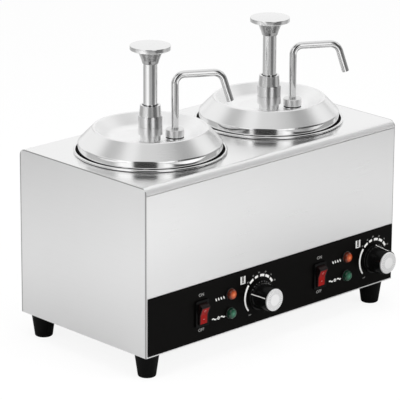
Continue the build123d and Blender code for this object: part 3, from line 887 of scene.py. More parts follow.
def lathe(profile: Sequence[Point2], segments: int,
          height_at: Callable[[float, float, float], float] | None = None) -> bmesh.types.BMesh:
    """Turn an outline of (radius, height) about Z.

    Args:
        profile: Outline from one end to the other; a radius of 0 closes it.
        segments: Steps round the axis.
        height_at: Optional function of (radius, angle, height) that gives a new height.

    Returns:
        The shape.
    """
    mesh = bmesh.new()
    rows: list[list[bmesh.types.BMVert]] = []
    for radius, height in profile:
        count = 1 if radius <= 0.0 else segments
        row = []
        for step in range(count):
            angle = 2.0 * math.pi * step / segments
            z = height_at(radius, angle, height) if height_at else height
            row.append(mesh.verts.new((radius * math.cos(angle), radius * math.sin(angle), z)))
        rows.append(row)
    for low, high in zip(rows, rows[1:]):
        for step in range(segments):
            after = (step + 1) % segments
            corners = [low[step % len(low)], low[after % len(low)],
                       high[after % len(high)], high[step % len(high)]]
            unique = list(dict.fromkeys(corners))
            if len(unique) > 2:
                mesh.faces.new(unique)
    return mesh


def along_front(x: float, y: float, z: float) -> Matrix:
    """Place of a piece built along +Z so that it stands out of the front."""
    return Matrix.Translation((x, y, z)) @ Matrix.Rotation(math.radians(90.0), 4, "X")


def along_back(x: float, y: float, z: float) -> Matrix:
    """Place of a piece built along +Z so that it stands out of the back."""
    return Matrix.Translation((x, y, z)) @ Matrix.Rotation(math.radians(-90.0), 4, "X")


def ripple(length: float, swing: float, steps: int) -> list[Point2]:
    """One full wave, as distances along it and across it."""
    return [(length * step / steps, swing * math.sin(2.0 * math.pi * step / steps))
            for step in range(steps + 1)]


@dataclass
class Drawing:
    """Flat marks in ink on one plane, gathered in one mesh.

    The plane's own X runs to the right and its Y up, seen by someone who reads the marks.
    """

    thickness: float = 0.05 * MM
    arc_step: float = 4.0
    ring_step: int = 15
    mesh: bmesh.types.BMesh = field(default_factory=bmesh.new)

    def stroke(self, points: Sequence[Point2], widths: float | Sequence[float],
               closed: bool = False) -> None:
        """Draw a line of one width, or of a width for each point.

        Args:
            points: Middle of the line.
            widths: Its width.
            closed: Whether the last point joins the first.
        """
        count = len(points)
        sizes = [widths] * count if isinstance(widths, float) else list(widths)
        edges: list[tuple[bmesh.types.BMVert, ...]] = []
        for index, point in enumerate(points):
            before = points[(index - 1) % count] if closed or index > 0 else point
            after = points[(index + 1) % count] if closed or index < count - 1 else point
            way = Vector((after[0] - before[0], after[1] - before[1])).normalized()
            side = Vector((-way.y, way.x)) * (sizes[index] / 2.0)
            left = (point[0] + side.x, point[1] + side.y)
            right = (point[0] - side.x, point[1] - side.y)
            corners = [(*left, self.thickness), (*right, self.thickness), (*right, 0.0), (*left, 0.0)]
            edges.append(tuple(self.mesh.verts.new(corner) for corner in corners))
        pairs = list(zip(edges, edges[1:]))
        if closed:
            pairs.append((edges[-1], edges[0]))
        for near, far in pairs:
            self.mesh.faces.new((near[0], near[1], far[1], far[0]))
            self.mesh.faces.new((near[1], near[2], far[2], far[1]))
            self.mesh.faces.new((near[3], near[0], far[0], far[3]))
        if not closed:
            for end in (edges[0], edges[-1]):
                self.mesh.faces.new(end)

    def arc(self, centre: Point2, radius: float, start: float, stop: float, width: float,
            taper: float = 1.0) -> None:
        """Draw a round line; angles are degrees clockwise from straight up.

        Args:
            centre: Middle of the arc.
            radius: Its radius.
            start: Angle of its first end.
            stop: Angle of its other end.
            width: Width at the other end.
            taper: Width at the first end as a share of that.
        """
        steps = max(4, int(abs(stop - start) / self.arc_step))
        points, widths = [], []
        for index in range(steps + 1):
            share = index / steps
            angle = math.radians(start + (stop - start) * share)
            points.append((centre[0] + radius * math.sin(angle), centre[1] + radius * math.cos(angle)))
            widths.append(width * (taper + (1.0 - taper) * share))
        self.stroke(points, widths)

    def ring(self, centre: Point2, radius: float, width: float) -> None:
        """Draw a full circle.

        Args:
            centre: Middle of the circle.
            radius: Its radius.
            width: Width of its line.
        """
        points = [(centre[0] + radius * math.sin(math.radians(angle)),
                   centre[1] + radius * math.cos(math.radians(angle)))
                  for angle in range(0, 360, self.ring_step)]
        self.stroke(points, width, closed=True)

    def place(self, name: str, body: str, slot: str, finish: Finish, at: Matrix) -> bpy.types.Object:
        """Set the drawing on its surface as one piece."""
        return add_piece(name, self.mesh, body, finish, at, smooth=False)


def lettering(name: str, words: str, height: float, at: Matrix, body: str,
              finish: Finish) -> bpy.types.Object:
    """Generic figures or words, centred on their place.

    Args:
        name: Name of the piece.
        words: What it says.
        height: Height of a capital.
        at: Plane of the words, with X to the right and Y up.
        body: CAD body that carries it.
        finish: Its ink.

    Returns:
        The text object.
    """
    text = bpy.data.curves.new(name, "FONT")
    text.body = words
    text.size = height / CAPITAL_SHARE
    text.align_x = "CENTER"
    text.align_y = "CENTER"
    text.extrude = INK_RELIEF
    text.materials.append(finish.material())
    piece = put(name, text)
    piece.matrix_world = at
    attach(piece, body)
    log.info("printed %s on %s", words, body)
    return piece


# ---------------------------------------------------------------- casing
@dataclass
class Casing:
    """Sheet steel casing, its tray, feet, screws and the inner parts fixed to it.

    The wall and the dome of a screw's head are shares of its height, and the cover is the share by
    which the head is wider than the CAD one under it.
    """

    body: str = "casing"
    screw_recess: float = 0.9 * MM
    screw_slot: float = 0.55 * MM
    screw_slot_reach: float = 2.1 * MM
    screw_inset: float = 14.0 * MM
    screw_radius: float = 3.6 * MM
    screw_height: float = 2.0 * MM
    screw_cover: float = 1.03
    screw_wall: float = 0.35
    screw_dome: float = 0.72
    screw_steps: int = 14
    screw_segments: int = 72
    fold_depth: float = 1.2 * MM
    side_seam: float = 1.9 * MM
    top_seam: float = 1.3 * MM

    def build(self) -> None:
        """Dress the sheets and fixed parts and add the screw heads."""
        low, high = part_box("left_side_panel")
        # painted shade along the side panels' joints with the deck, front and back, and under the deck's lip
        # on the front and back panels
        top = Seam(2, high.z, self.top_seam)
        joints = (top, Seam(1, low.y, self.side_seam), Seam(1, high.y, self.side_seam))
        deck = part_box("top_deck")[1].z
        across = BrushedSteel("deck_steel", Grain.ALONG_X, tone=0.88, roughness=0.22, depth=2e-6,
                              fold=deck - self.fold_depth, fold_satin=0.48)
        front = BrushedSteel("front_steel", Grain.ALONG_X, tone=0.88, roughness=0.30, seams=(top,))
        side = BrushedSteel("side_steel", Grain.ALONG_Y, tone=0.84, roughness=0.34, seams=joints)
        dress("top_deck", across)
        dress("front_panel", front)
        dress("back_panel", front)
        dress("base_tray", BrushedSteel("tray_steel", Grain.ALONG_X, tone=0.70, roughness=0.38))
        dress("left_side_panel", side)
        dress("right_side_panel", side)
        dress("rubber_feet", Rubber("foot_rubber_black"))
        dress("foot_screws", CastMetal("plated_screw_steel", grey(0.62), roughness=0.28))
        dress("cord_gland", Plastic("gland_black", grey(0.012), roughness=0.42, depth=0.02 * MM))
        dress("terminal_block", Plastic("terminal_ivory", (0.62, 0.58, 0.48), roughness=0.5))
        dress("heater_plates", CastMetal("heater_alloy_grey", grey(0.45), roughness=0.55))
        dress("well_insulation", WoolBoard("mineral_wool"))
        self.add_screw_heads()

    def add_screw_heads(self) -> None:
        """Cross-recessed heads over the plain heads of the back panel's screws."""
        low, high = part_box("back_panel")
        finish = CastMetal("screw_head_steel", grey(0.66), roughness=0.24, depth=0.01 * MM)
        reach = high.x - self.screw_inset
        heights = (low.z + self.screw_inset, high.z - self.screw_inset)
        for column, x in enumerate((-reach, 0.0, reach)):
            for row, z in enumerate(heights):
                place = along_back(x, high.y, z)
                add_piece(f"screw_head_{column}_{row}", self.screw_head(), self.body,
                          finish, place)

    def screw_head(self) -> bmesh.types.BMesh:
        """Domed head with a cross recess, its underside on the panel.

        Returns:
            The head, along +Z.
        """
        outer = self.screw_radius * self.screw_cover
        outline = [(outer, 0.0), (outer, self.screw_height * self.screw_wall)]
        for step in range(1, self.screw_steps + 1):
            share = step / self.screw_steps
            rise = self.screw_wall + self.screw_dome * math.sin(share * math.pi / 2.0)
            outline.append((outer * (1.0 - share), self.screw_height * rise))
        return lathe(outline, self.screw_segments, self.sunk)

    def sunk(self, radius: float, angle: float, height: float) -> float:
        """Height of a point of the screw head, with the recess cut into it.

        Args:
            radius: Distance of the point from the screw's axis.
            angle: Its angle round that axis.
            height: Its height on the plain dome.

        Returns:
            Its height.
        """
        x, y = abs(radius * math.cos(angle)), abs(radius * math.sin(angle))
        cross = min(x, y) < self.screw_slot and max(x, y) < self.screw_slot_reach
        return height - self.screw_recess if cross and height > self.screw_height * 0.5 else height


# ---------------------------------------------------------------- controls
@dataclass
class ControlStrip:
    """Black fascia and the marks printed on it.

    Places are (x, z): x from the middle of the side's pot and z from the foot of the casing, and
    for the icon and the signs from the knob or the lamp beside them. Angles are degrees clockwise
    from straight up. The foot of the thermometer and the drop of its bulb are shares of half the
    icon's height.
    """

    body: str = "casing"
    slot: str = "cap_silver"
    lift: float = 0.02 * MM
    ink: Finish = Ink("fascia_ink", (0.95, 0.95, 0.93))
    pale_ink: Finish = Ink("fascia_ink_grey", (0.40, 0.40, 0.39))
    knob: Point2 = (79.75 * MM, 37.5 * MM)
    scale_radius: float = 26.0 * MM
    scale_width: float = 3.2 * MM
    scale_taper: float = 0.7
    scale_arc: Point2 = (-131.0, -49.0)
    scale_dashes: tuple[Point2, ...] = (
        (-42.0, -26.0), (-19.0, -7.0), (1.5, 18.0), (23.0, 39.0), (45.0, 60.0))
    figures: tuple[tuple[str, float], ...] = (
        ("30", -45.0), ("40", -23.0), ("50", -3.0), ("60", 20.0), ("70", 42.0), ("80", 63.0))
    figure_gap: float = 4.3 * MM
    figure_height: float = 2.0 * MM
    off_angle: float = -141.0
    off_shift: float = 2.0 * MM
    icon: Point2 = (-30.0 * MM, 26.5 * MM)
    icon_width: float = 8.6 * MM
    icon_height: float = 10.5 * MM
    icon_wall: float = 2.1 * MM
    icon_base: float = 1.3 * MM
    thermometer_width: float = 0.7 * MM
    thermometer_foot: float = 0.25
    bulb_drop: float = 0.36
    bulb_radius: float = 0.5 * MM
    switch: Point2 = (-23.0 * MM, 38.0 * MM)
    switch_words: tuple[tuple[str, float], ...] = (("ON", 24.0 * MM), ("OFF", -22.6 * MM))
    word_height: float = 4.2 * MM
    lamp_x: float = 28.0 * MM
    lamp_heights: Point2 = (51.2 * MM, 25.6 * MM)
    heat_sign: Point2 = (-18.5 * MM, -2.0 * MM)
    heat_waves: int = 4
    heat_pitch: float = 4.5 * MM
    heat_height: float = 3.3 * MM
    heat_swing: float = 0.6 * MM
    heat_width: float = 1.5 * MM
    heat_steps: int = 12
    supply_sign: Point2 = (-21.0 * MM, -1.6 * MM)
    supply_ring: float = 1.6 * MM
    supply_opening: Point2 = (38.0, 322.0)
    supply_bar: Point2 = (0.4 * MM, 2.3 * MM)
    supply_width: float = 1.1 * MM
    supply_waves: Point2 = (-11.2 * MM, 3.7 * MM)
    supply_wave_length: float = 7.5 * MM
    supply_swing: float = 1.0 * MM
    supply_wave_width: float = 1.4 * MM
    supply_wave_steps: int = 14

    def build(self) -> None:
        """Dress the fascia and print both groups of marks."""
        dress("control_fascia", Plastic("fascia_black_film", (0.0024, 0.0022, 0.0020), roughness=0.32,
                                        specular=0.04, depth=0.004 * MM))
        for side in Side:
            self.print_scale(side)
            self.print_icon(side)
            self.print_switch_words(side)
            self.print_lamp_signs(side)

    def spot(self, side: Side, x: float, z: float) -> Matrix:
        """Plane on the fascia.

        Args:
            side: Side whose pot x is measured from.
            x: Distance to the right of that pot's middle.
            z: Height above the foot of the casing.

        Returns:
            The plane, with X to the right and Y up.
        """
        middle = pot_centre(side).x
        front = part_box("control_fascia")[0].y - self.lift
        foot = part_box("front_panel")[0].z
        return along_front(middle + x, front, foot + z)

    def place(self, side: Side, name: str, drawing: Drawing, x: float, z: float) -> None:
        """Set a drawing on the fascia."""
        drawing.place(side.node(name), self.body, self.slot, self.ink, self.spot(side, x, z))

    def write(self, side: Side, name: str, words: str, height: float, x: float, z: float) -> None:
        """Print words on the fascia in the paler ink."""
        lettering(side.node(name), words, height, self.spot(side, x, z), self.body, self.pale_ink)

    def print_scale(self, side: Side) -> None:
        """Solid arc, dashes and figures round the knob.

        Args:
            side: Side of the warmer.
        """
        scale = Drawing()
        scale.arc((0.0, 0.0), self.scale_radius, *self.scale_arc, self.scale_width, self.scale_taper)
        for start, stop in self.scale_dashes:
            scale.arc((0.0, 0.0), self.scale_radius, start, stop, self.scale_width)
        self.place(side, "dial_scale", scale, *self.knob)
        marks = [(words, angle, 0.0) for words, angle in self.figures]
        marks.append(("OFF", self.off_angle, self.off_shift))
        out = self.scale_radius + self.figure_gap
        for words, angle, shift in marks:
            turn = math.radians(angle)
            x, z = self.knob[0] + out * math.sin(turn) + shift, self.knob[1] + out * math.cos(turn)
            self.write(side, f"scale_{words}", words, self.figure_height, x, z)

    def print_icon(self, side: Side) -> None:
        """Pot with a thermometer in it.

        Args:
            side: Side of the warmer.
        """
        icon = Drawing()
        reach, top = (self.icon_width - self.icon_wall) / 2.0, self.icon_height / 2.0
        for wall_x in (-reach, reach):
            icon.stroke([(wall_x, top), (wall_x, -top)], self.icon_wall)
        foot = self.icon_base / 2.0 - top
        icon.stroke([(-reach, foot), (reach, foot)], self.icon_base)
        icon.stroke([(0.0, top), (0.0, -top * self.thermometer_foot)], self.thermometer_width)
        icon.ring((0.0, -top * self.bulb_drop), self.bulb_radius, self.thermometer_width)
        self.place(side, "temperature_icon", icon, self.knob[0] + self.icon[0], self.knob[1] + self.icon[1])

    def print_switch_words(self, side: Side) -> None:
        """ON above the switch and OFF below it."""
        for words, up in self.switch_words:
            self.write(side, f"word_{words}", words, self.word_height, self.switch[0], self.switch[1] + up)

    def print_lamp_signs(self, side: Side) -> None:
        """Rising heat beside the upper lamp and a supply sign beside the lower one.

        Args:
            side: Side of the warmer.
        """
        upper, lower = self.lamp_heights
        heat = Drawing()
        for column in range(self.heat_waves):
            x = (column - (self.heat_waves - 1) / 2.0) * self.heat_pitch
            wave = ripple(self.heat_height, self.heat_swing, self.heat_steps)
            heat.stroke([(x + out, up - self.heat_height / 2.0) for up, out in wave], self.heat_width)
        self.place(side, "heat_sign", heat, self.lamp_x + self.heat_sign[0], upper + self.heat_sign[1])
        supply = Drawing()
        supply.arc((0.0, 0.0), self.supply_ring, *self.supply_opening, self.supply_width)
        supply.stroke([(0.0, z) for z in self.supply_bar], self.supply_width)
        for start in self.supply_waves:
            wave = ripple(self.supply_wave_length, self.supply_swing, self.supply_wave_steps)
            supply.stroke([(start + along, up) for along, up in wave], self.supply_wave_width)
        x, z = self.lamp_x + self.supply_sign[0], lower + self.supply_sign[1]
        self.place(side, "supply_sign", supply, x, z)


@dataclass
class Dial:
    """Thermostat, its tapered knob with a painted pointer, and the knob's bright cap."""

    side: Side
    pointer_angle: float
    skirt_radius: float = 20.0 * MM
    skirt_top: float = 3.3 * MM
    pointer_width: float = 1.15 * MM
    paint_lift: float = 0.04 * MM
    rib_foot_radius: float = 18.4 * MM
    rib_front_radius: float = 16.2 * MM
    rib_front: float = 25.8 * MM
    graduations: int = 9
    graduation_start: float = 18.0
    graduation_pitch: float = 14.0
    graduation_reach: Point2 = (1.6 * MM, 0.7 * MM)
    graduation_width: float = 0.7 * MM

    def build(self) -> None:
        """Dress the knob, cap and thermostat and paint the knob's marks."""
        low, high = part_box(self.side.node("dial_cap"))
        centre = (low + high) / 2.0
        body = self.side.node("knob")
        black = Plastic("knob_gloss_black", grey(0.004), roughness=0.17, specular=0.15, depth=0.006 * MM)
        dress(self.side.node("dial_knob"), black)
        cap = CapMetal(self.side.node("cap_spun_silver"), (centre.x, centre.z), (high.x - low.x) / 2.0)
        dress(self.side.node("dial_cap"), cap)
        dress(self.side.node("thermostat"), CastMetal("thermostat_zinc", (0.60, 0.58, 0.52), roughness=0.4))
        at = along_front(centre.x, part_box("control_fascia")[0].y, centre.z)
        turn = Matrix.Rotation(math.radians(-self.pointer_angle), 4, "Z")
        self.paint_pointer(at @ turn, body)
        self.paint_graduations(at @ turn, body)

    def paint_pointer(self, at: Matrix, body: str) -> None:
        """White line from the skirt up the rib to the cap.

        Args:
            at: Frame of the turned knob, whose Y is the pointer's direction.
            body: CAD body that carries the knob.
        """
        lift = self.paint_lift
        half = self.pointer_width / 2.0
        route = [(self.skirt_radius - 0.8 * MM, self.skirt_top + lift),
                 (self.rib_foot_radius + lift, self.skirt_top + lift),
                 (self.rib_front_radius + lift, self.rib_front)]
        mesh = bmesh.new()
        rows = []
        for radius, height in route:
            rows.append([mesh.verts.new((x, radius, height)) for x in (-half, 0.0, half)])
        for near, far in zip(rows, rows[1:]):
            for index in range(2):
                mesh.faces.new((near[index], near[index + 1], far[index + 1], far[index]))
        ink = Ink("pointer_ink", (0.95, 0.95, 0.93))
        piece = add_piece(self.side.node("pointer_line"), mesh, body, ink, at, smooth=False)
        thick = piece.modifiers.new("thickness", "SOLIDIFY")
        thick.thickness = lift
        thick.offset = 0.0

    def paint_graduations(self, at: Matrix, body: str) -> None:
        """Short marks on the skirt beside the pointer.

        Args:
            at: Frame of the turned knob.
            body: CAD body that carries the knob.
        """
        marks = Drawing(thickness=INK_RELIEF)
        for step in range(self.graduations):
            angle = math.radians(self.graduation_start + step * self.graduation_pitch)
            ends = [self.skirt_radius - inset for inset in self.graduation_reach]
            marks.stroke([(end * math.sin(angle), end * math.cos(angle)) for end in ends],
                         self.graduation_width)
        lifted = at @ Matrix.Translation((0.0, 0.0, self.skirt_top))
        ink = Ink("skirt_ink", grey(0.38))
        marks.place(self.side.node("skirt_marks"), body, "cap_silver", ink, lifted)


@dataclass
class RockerSwitch:
    """Black bezel with a red rocker marked with a bar and a ring."""

    side: Side
    tilt: float = 12.0
    pivot_depth: float = 3.0 * MM
    face_out: float = 7.6 * MM
    dish: float = 2.0 * MM
    end: float = 11.76 * MM
    lift: float = 0.05 * MM
    red_half: float = 6.9 * MM
    red_top: float = 9.6 * MM
    mark_reach: float = 1.3 * MM
    ring_line: float = 0.6 * MM
    bar_line: float = 0.7 * MM

    def build(self) -> None:
        """Dress the switch and mark the rocker."""
        low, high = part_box(self.side.node("rocker"))
        centre_x = (low.x + high.x) / 2.0
        bezel_low, bezel_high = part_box(self.side.node("switch_housing"))
        pivot = Vector((centre_x, bezel_low.y + self.pivot_depth, (bezel_low.z + bezel_high.z) / 2.0))
        black = Plastic("switch_gloss_black", grey(0.003), roughness=0.22, specular=0.08)
        dress(self.side.node("switch_housing"), black)
        # beyond red_half and above red_top the rocker is painted shade
        red = RockerPlastic(self.side.node("rocker_clear_red"), centre_x, self.red_half,
                            pivot.z + self.red_top)
        dress(self.side.node("rocker"), red)
        face = Matrix.Translation(pivot) @ Matrix.Rotation(math.radians(self.tilt), 4, "X")
        self.mark(face, upper=True)
        self.mark(face, upper=False)

    def mark(self, face: Matrix, upper: bool) -> None:
        """Print the ring on the upper half of the rocker or the bar on the lower half.

        Args:
            face: Frame of the tilted rocker, with its pivot as the origin.
            upper: Whether the mark is the ring.
        """
        sign = 1.0 if upper else -1.0
        slant = math.atan2(self.dish, self.end)
        out = self.face_out - self.dish / 2.0 + self.lift
        middle = Matrix.Translation((0.0, -out, sign * self.end / 2.0))
        lean = Matrix.Rotation(math.radians(90.0) + sign * slant, 4, "X")
        drawing = Drawing(thickness=INK_RELIEF)
        if upper:
            drawing.ring((0.0, 0.0), self.mark_reach, self.ring_line)
        else:
            drawing.stroke([(-self.mark_reach, 0.0), (self.mark_reach, 0.0)], self.bar_line)
        name = self.side.node("rocker_ring" if upper else "rocker_bar")
        ink = Ink("rocker_ink", (0.50, 0.17, 0.16))
        drawing.place(name, self.side.node("rocker"), "cap_silver", ink, face @ middle @ lean)


class LampColour(Enum):
    """Colours of the two pilot lamps: body, painted glowing heart and rim in painted shade."""

    AMBER = ((0.40, 0.055, 0.008), (0.68, 0.17, 0.04), (0.06, 0.008, 0.002))
    GREEN = ((0.005, 0.075, 0.036), (0.022, 0.17, 0.095), (0.002, 0.022, 0.011))


@dataclass
class PilotLamps:
    """Four pilot lamps with faceted lenses."""

    body: str = "casing"
    lamp_x: float = 28.0 * MM
    radius: float = 7.4 * MM
    out: float = 6.2 * MM
    stem: float = 6.15 * MM
    inside: float = 5.0 * MM
    seat: float = 1.45 * MM
    shoulder: float = 3.9 * MM
    facets: int = 12
    bands: int = 3

    def build(self) -> None:
        """Dress the bezels and replace the plain lenses."""
        dress("lamp_bodies", Plastic("lamp_bezel_black", grey(0.013), roughness=0.24, specular=0.4))
        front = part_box("control_fascia")[0].y
        for node, colour in (("heat_lenses", LampColour.AMBER), ("power_lenses", LampColour.GREEN)):
            low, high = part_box(node)
            word = colour.name.lower()
            finish = JewelPlastic(f"jewel_{word}", *colour.value, self.radius)
            for side in Side:
                at = along_front(pot_centre(side).x + self.lamp_x, front, (low.z + high.z) / 2.0)
                lens = add_piece(side.node(f"{word}_lens"), self.lens(), self.body,
                                 finish, at, smooth=False)
                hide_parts(node)

    def lens(self) -> bmesh.types.BMesh:
        """Domed lens whose shoulder is cut in facets.

        Returns:
            The lens, along +Z, with its flange at zero.
        """
        profile = [(0.0, -self.inside), (self.stem, -self.inside), (self.stem, self.seat),
                   (self.radius, self.seat), (self.radius, self.out - self.shoulder)]
        for band in range(1, self.bands + 1):
            angle = math.pi / 2.0 * band / self.bands
            profile.append((self.radius - self.shoulder * (1.0 - math.cos(angle)),
                            self.out - self.shoulder * (1.0 - math.sin(angle))))
        profile.append((0.0, self.out))
        return lathe(profile, self.facets)


# ---------------------------------------------------------------- pots, lids and pumps
def pot_centre(side: Side) -> Vector:
    """Middle of a pot seen from above, at the floor."""
    low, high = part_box(side.node("pot"))
    return Vector(((low.x + high.x) / 2.0, (low.y + high.y) / 2.0, 0.0))


@dataclass
class PotSet:
    """Well, pot, lid, pump and spout of one side."""

    side: Side
    band_height: float = 12.0 * MM
    ridge_radius: float = 72.5 * MM
    nut_shoulder: float = 46.5 * MM
    groove_inset: float = 4.4 * MM

    def build(self) -> None:
        """Dress every piece of this side."""
        side = self.side
        middle = pot_centre(side)
        centre = (middle.x, middle.y)
        dress(side.node("well"), SpunSteel(side.node("well_steel"), centre, tone=0.72, roughness=0.32))
        low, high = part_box(side.node("pot"))
        groove = (high.x - low.x) / 2.0 - self.groove_inset
        # the pot's rim gets painted shade in the groove where the lid stands
        dress(side.node("pot"), RimmedSteel(side.node("pot_steel_bright"), centre, tone=0.85,
                                            roughness=0.10, groove=groove))
        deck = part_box("top_deck")[1].z
        dress(side.node("lid"), LidSteel(side.node("lid_steel_satin"), centre,
                                         deck + self.band_height, self.ridge_radius))
        for piece in ("plunger_rod", "pump_barrel", "riser_tube"):
            dress(side.node(piece), DrawnSteel("polished_rod"))
        dress(side.node("spout_tube"), DrawnSteel("polished_spout", tone=0.74, roughness=0.13))
        self.dress_rings()
        dress(side.node("valve_block"), CastMetal("valve_steel", grey(0.70), roughness=0.30))
        dress(side.node("valve_balls"), DrawnSteel("ball_steel", roughness=0.05))
        dress(side.node("piston"), Plastic("piston_white", grey(0.72), roughness=0.4))
        dress(side.node("spout_seal"), Rubber("seal_rubber_black"))

    def dress_rings(self) -> None:
        """Give the turned rings of the pump their grip grooves."""
        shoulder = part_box("top_deck")[1].z + self.nut_shoulder
        for piece, lean, satin in (("pump_lock_ring", 16.0, 0.25), ("pump_cap_nut", 16.0, 0.22),
                                   ("spout_nut", 18.0, 0.34)):
            low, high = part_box(self.side.node(piece))
            axis = (low + high) / 2.0
            steel = ThreadedSteel(self.side.node(f"{piece}_steel"), (axis.x, axis.y), low.z, high.z,
                                  lean=math.radians(lean), lean_to=shoulder, land_satin=satin)
            dress(self.side.node(piece), steel)


@dataclass
class PressHead:
    """Round head that the hand presses, turned in one piece with its flared neck."""

    side: Side
    thickness: float = 5.7 * MM
    painted_shade_gap: float = 0.2 * MM
    edge: float = 0.7 * MM
    edge_steps: int = 5
    segments: int = 96
    neck_mm: tuple[Point2, ...] = ((9.9, 0.0), (10.2, 0.3), (11.5, 4.8), (13.1, 9.0), (14.4, 12.2),
                                   (15.8, 15.6), (17.4, 18.0))

    def build(self) -> None:
        """Turn the head in the place of the CAD one."""
        node = self.side.node("press_knob")
        low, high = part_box(node)
        radius = (high.x - low.x) / 2.0
        under = high.z - self.thickness
        outline = [(0.0, low.z)] + [(out * MM, low.z + up * MM) for out, up in self.neck_mm]
        outline += [(radius, under), (radius, high.z), (0.0, high.z)]
        # painted shade on the flared neck under the head's disc, standing in for the disc's shadow
        finish = SpunSteel("press_head_steel", (0.0, 0.0), tone=0.84, roughness=0.12, painted_shade_tone=0.42,
                           painted_shade_top=under - self.painted_shade_gap)
        middle = (low + high) / 2.0
        place = Matrix.Translation((middle.x, middle.y, 0.0))
        piece = add_piece(self.side.node("press_head"), lathe(self.eased(outline), self.segments),
                          self.side.node("plunger"), finish, place)
        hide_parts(node)

    def eased(self, outline: Sequence[Point2]) -> list[Point2]:
        """Round each corner of an outline.

        Args:
            outline: Points of (radius, height).

        Returns:
            The outline with a small curve at each point but the ends.
        """
        points = [Vector(point) for point in outline]
        soft = [points[0]]
        for before, corner, after in zip(points, points[1:], points[2:]):
            reach = [min(self.edge, (end - corner).length * 0.45) for end in (before, after)]
            start = corner + (before - corner).normalized() * reach[0]
            stop = corner + (after - corner).normalized() * reach[1]
            for step in range(self.edge_steps + 1):
                share = step / self.edge_steps
                soft.append(start.lerp(corner, share).lerp(corner.lerp(stop, share), share))
        soft.append(points[-1])
        return [(point.x, point.y) for point in soft]


@dataclass
class ReturnSpring:
    """Coil spring under a pump's piston; the real spring gets shorter as the plunger goes down, this coil is
    wound once at its full length.
    """

    side: Side
    wire_radius: float = 0.78 * MM
    gap: float = 0.02 * MM
    turns: float = 8.0
    dead_turns: float = 0.9
    dead_pitch: float = 2.2
    steps: int = 28
    flats: int = 8
    travel: float = 28.0 * MM

    def build(self) -> None:
        """Wind the coil in the CAD spring's place."""
        node = self.side.node("return_spring")
        low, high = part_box(node)
        foot = Vector(((low.x + high.x) / 2.0, (low.y + high.y) / 2.0, low.z))
        length = high.z - low.z
        coil = self.wind((high.x - low.x) / 2.0 - self.wire_radius, length, foot)
        piece = add_piece(self.side.node("coil_spring"), coil, self.side.node("lid"),
                          DrawnSteel("spring_wire", tone=0.66, roughness=0.2))
        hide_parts(node)
        self.side.node("plunger_press")
        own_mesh(piece)

    def wind(self, radius: float, length: float, foot: Vector) -> bmesh.types.BMesh:
        """Sweep the wire up the coil, whose end turns lie close.

        Args:
            radius: Radius of the coil at the middle of the wire.
            length: Height of the space it fills.
            foot: Middle of its lower end.

        Returns:
            The coil, in its place.
        """
        mesh = bmesh.new()
        close = self.dead_pitch * self.wire_radius
        clear = length - 2.0 * (self.wire_radius + self.gap)
        live = self.turns - 2.0 * self.dead_turns
        pitch = (clear - 2.0 * self.dead_turns * close) / live
        count = round(self.turns * self.steps)
        before: list[bmesh.types.BMVert] = []
        for step in range(count + 1):
            turn = step / self.steps
            dead = min(turn, self.dead_turns) + max(turn - self.turns + self.dead_turns, 0.0)
            height = self.wire_radius + self.gap + dead * close + (turn - dead) * pitch
            angle = 2.0 * math.pi * turn
            ring = []
            for flat in range(self.flats):
                way = 2.0 * math.pi * flat / self.flats
                out = radius + self.wire_radius * math.cos(way)
                ring.append(mesh.verts.new(foot + Vector((
                    out * math.cos(angle), out * math.sin(angle),
                    height + self.wire_radius * math.sin(way)))))
            for flat in range(self.flats if before else 0):
                after = (flat + 1) % self.flats
                mesh.faces.new((before[flat], before[after], ring[after], ring[flat]))
            if step in (0, count):
                mesh.faces.new(ring)
            before = ring
        return mesh


# ---------------------------------------------------------------- studio
@dataclass(frozen=True)
class Viewpoint:
    """Three-quarter camera from the front left, a little above the deck."""

    azimuth: float = -43.677
    elevation: float = 17.783
    roll: float = 0.303
    distance: float = 3.74085
    focal_px: float = 2860.27
    frame_px: float = 400.0
    sensor: float = 36.0
    aim: tuple[float, float, float] = (0.0, 0.029, 0.152)
    aim_px: Point2 = (201.45, 204.963)
    clip: Point2 = (0.05, 60.0)

    def axes(self) -> tuple[Vector, Vector, Vector]:
        """Directions of the picture.

        Returns:
            Its right, its up and the way that the camera looks.
        """
        a, e, r = (math.radians(angle) for angle in (self.azimuth, self.elevation, self.roll))
        forward = Vector((-math.sin(a) * math.cos(e), math.cos(a) * math.cos(e), -math.sin(e)))
        level = Vector((math.cos(a), math.sin(a), 0.0))
        upright = level.cross(forward)
        right = level * math.cos(r) + upright * math.sin(r)
        up = upright * math.cos(r) - level * math.sin(r)
        return right, up, forward

    def ground_axes(self) -> tuple[Point2, Point2]:
        """Level directions towards the camera and to the picture's right."""
        a = math.radians(self.azimuth)
        return (math.sin(a), -math.cos(a)), (math.cos(a), math.sin(a))

    def bearing(self, x: Wire, y: Wire) -> Wire:
        """Angle of a level direction from the camera's side.

        Args:
            x: Part of the direction along X.
            y: Part of it along Y.

        Returns:
            The angle in radians, greater to the picture's right.
        """
        towards, right = self.ground_axes()
        ahead = x * towards[0] + y * towards[1]
        aside = x * right[0] + y * right[1]
        return aside.angle_from(ahead)

    def build(self) -> None:
        """Make the camera and set it as the scene's."""
        right, up, forward = self.axes()
        scale = self.distance / self.focal_px
        half = self.frame_px / 2.0
        spot = Vector(self.aim)
        spot -= right * ((self.aim_px[0] - half) * scale)
        spot += up * ((self.aim_px[1] - half) * scale)
        spot -= forward * self.distance
        turn = Matrix((right, up, -forward)).transposed().to_4x4()
        data = bpy.data.cameras.new("camera")
        data.sensor_width = self.sensor
        data.lens = self.focal_px / self.frame_px * self.sensor
        data.clip_start, data.clip_end = self.clip
        camera = put("camera", data)
        camera.matrix_world = Matrix.Translation(spot) @ turn
        bpy.context.scene.camera = camera


